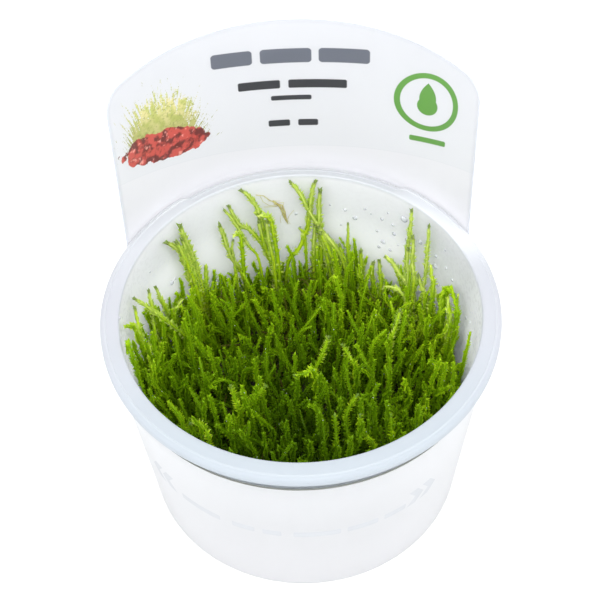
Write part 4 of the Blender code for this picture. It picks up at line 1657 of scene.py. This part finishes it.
# drops on the wall: pixel and radius in millimetres
wallDrops = (
    ((345, 210), 0.5), ((355, 218), 0.7), ((365, 209), 0.4), ((382, 219), 0.5), ((393, 225), 0.5),
    ((394, 234), 0.6), ((404, 219), 1.1), ((383, 242), 0.7), ((379, 247), 0.5), ((377, 231), 0.4),
    ((390, 250), 0.5), ((420, 242), 0.8), ((407, 240), 0.6), ((436, 256), 0.6), ((435, 266), 0.9),
    ((438, 284), 0.7), ((428, 262), 0.4), ((446, 268), 0.4), ((371, 214), 0.3), ((388, 213), 0.3),
    ((398, 245), 0.3), ((414, 251), 0.4), ((172, 283), 0.7), ((175, 279), 0.4), ((150, 272), 0.3),
    ((341, 225), 0.3), ((330, 205), 0.3), ((452, 280), 0.5), ((458, 300), 0.4), ((445, 250), 0.4),
    ((269, 228), 0.4), ((296, 214), 0.4), ((300, 227), 0.4), ((120, 318), 0.4), ((466, 318), 0.5),
    ((470, 322), 0.3),
)

drops = {
    "onShoots": 420,
    "size": (0.00009, 0.00020),     # radius
    "flatness": 0.5,
    "fromTip": 0.6,                 # drops lie on the shoots' ends, from this far along them
    "reach": 0.0007,                # how far from the stem
    "gap": 0.0004,
    "seed": 21,
}


def dropTree():
    growth = Growth("settledDrops", {
        "Spots": "Geometry", "Drop": "Object", "Flatness": "Float", "Material": "Material"})
    given, node = growth.given, growth.node
    spots = node("GeometryNodeMeshToPoints", {"mode": "VERTICES"}, {"Mesh": given["Spots"]})
    facing, size = growth.named("facing", "FLOAT_VECTOR"), growth.named("size")
    flat = node("ShaderNodeCombineXYZ", {}, {"X": 1.0, "Y": 1.0, "Z": given["Flatness"]})
    return growth.close(node("GeometryNodeInstanceOnPoints", {}, {
        "Points": spots,
        "Instance": node("GeometryNodeObjectInfo", {}, {"Object": given["Drop"]}, "Geometry"),
        "Rotation": node("FunctionNodeAlignRotationToVector", {"axis": "Z"}, {"Vector": facing}),
        "Scale": node("ShaderNodeVectorMath", {"operation": "SCALE"}, {0: flat, "Scale": size})}))


def water(name, tint, clear):
    paint = Finish(name)
    return paint.finish({
        "Base Color": paint.mixColour(paint.noise(400.0), tint, (1.0, 1.0, 1.0)),
        "Roughness": 0.04,
        "IOR": 1.33,
        "Transmission Weight": clear,
    })


def settled(name, spots, tree, drop, material):
    # spots are place, facing and radius
    mesh = bpy.data.meshes.new(name + "Spots")
    mesh.from_pydata([spot[0] for spot in spots], [], [])
    facing = [part for spot in spots for part in spot[1]]
    mesh.attributes.new("facing", "FLOAT_VECTOR", "POINT").data.foreach_set("vector", facing)
    mesh.attributes.new("size", "FLOAT", "POINT").data.foreach_set("value", [spot[2] for spot in spots])
    return grownMesh(name, mesh, tree, {"Drop": drop, "Flatness": drops["flatness"], "Material": material})


def wallDropSpots():
    spots = []
    for (across, down), radius in wallDrops:
        spot = wallSpot(across, down, 0.0)
        facing = -Vector((spot.x, spot.y, 0.0)).normalized()
        spots.append((spot, facing, radius * millimetre))
    return spots


def shootDropSpots(sectors):
    draw = random.Random(drops["seed"])
    tips = []
    for paths in sectors.values():
        for point, along, vigour in zip(paths.points, paths.values["along"], paths.values["vigour"]):
            if along > drops["fromTip"]:
                tips.append((point, vigour))
    spots = []
    for point, vigour in draw.sample(tips, drops["onShoots"]):
        facing = Vector((draw.gauss(0, 1), draw.gauss(0, 1) - 0.7, draw.uniform(0.2, 1.4))).normalized()
        place = keepInside(point + facing * (drops["reach"] * vigour), drops["gap"])
        spots.append((place, facing, draw.uniform(*drops["size"])))
    return spots


def makeDrops(sectors):
    tree, large, small = dropTree(), ballDraft("dropDraft", 2), ballDraft("dropDraft", 1)
    onWall = settled("wallDrops", wallDropSpots(), tree, large, water("wallWater", (0.55, 0.60, 0.70), 0.5))
    linkPiece("wallDrops", onWall)
    wet = water("shootWater", (0.90, 0.94, 0.96), 0.85)
    linkPiece("shootDrops", settled("shootDrops", shootDropSpots(sectors), tree, small, wet))
    for draft in (large, small):
        bpy.data.objects.remove(draft)


# run

placeCamera()
lightStage()
layFloor()
print("camera and lights placed")
makeCup()
makeLabel()
finishGel()
print("cup, label and gel made")
leafTree, drafts = leafyTree(), (leafMesh(), ballDraft("budDraft", 1, 1.5, 0.7))
makeMat(leafTree, drafts)
mossPaths = plantMoss()
makeMoss(leafTree, drafts, mossPaths)
makeStrayThread(leafTree, drafts)
for draft in drafts:
    bpy.data.objects.remove(draft)
print("moss grown")
makeDrops(mossPaths)
print("drops settled")
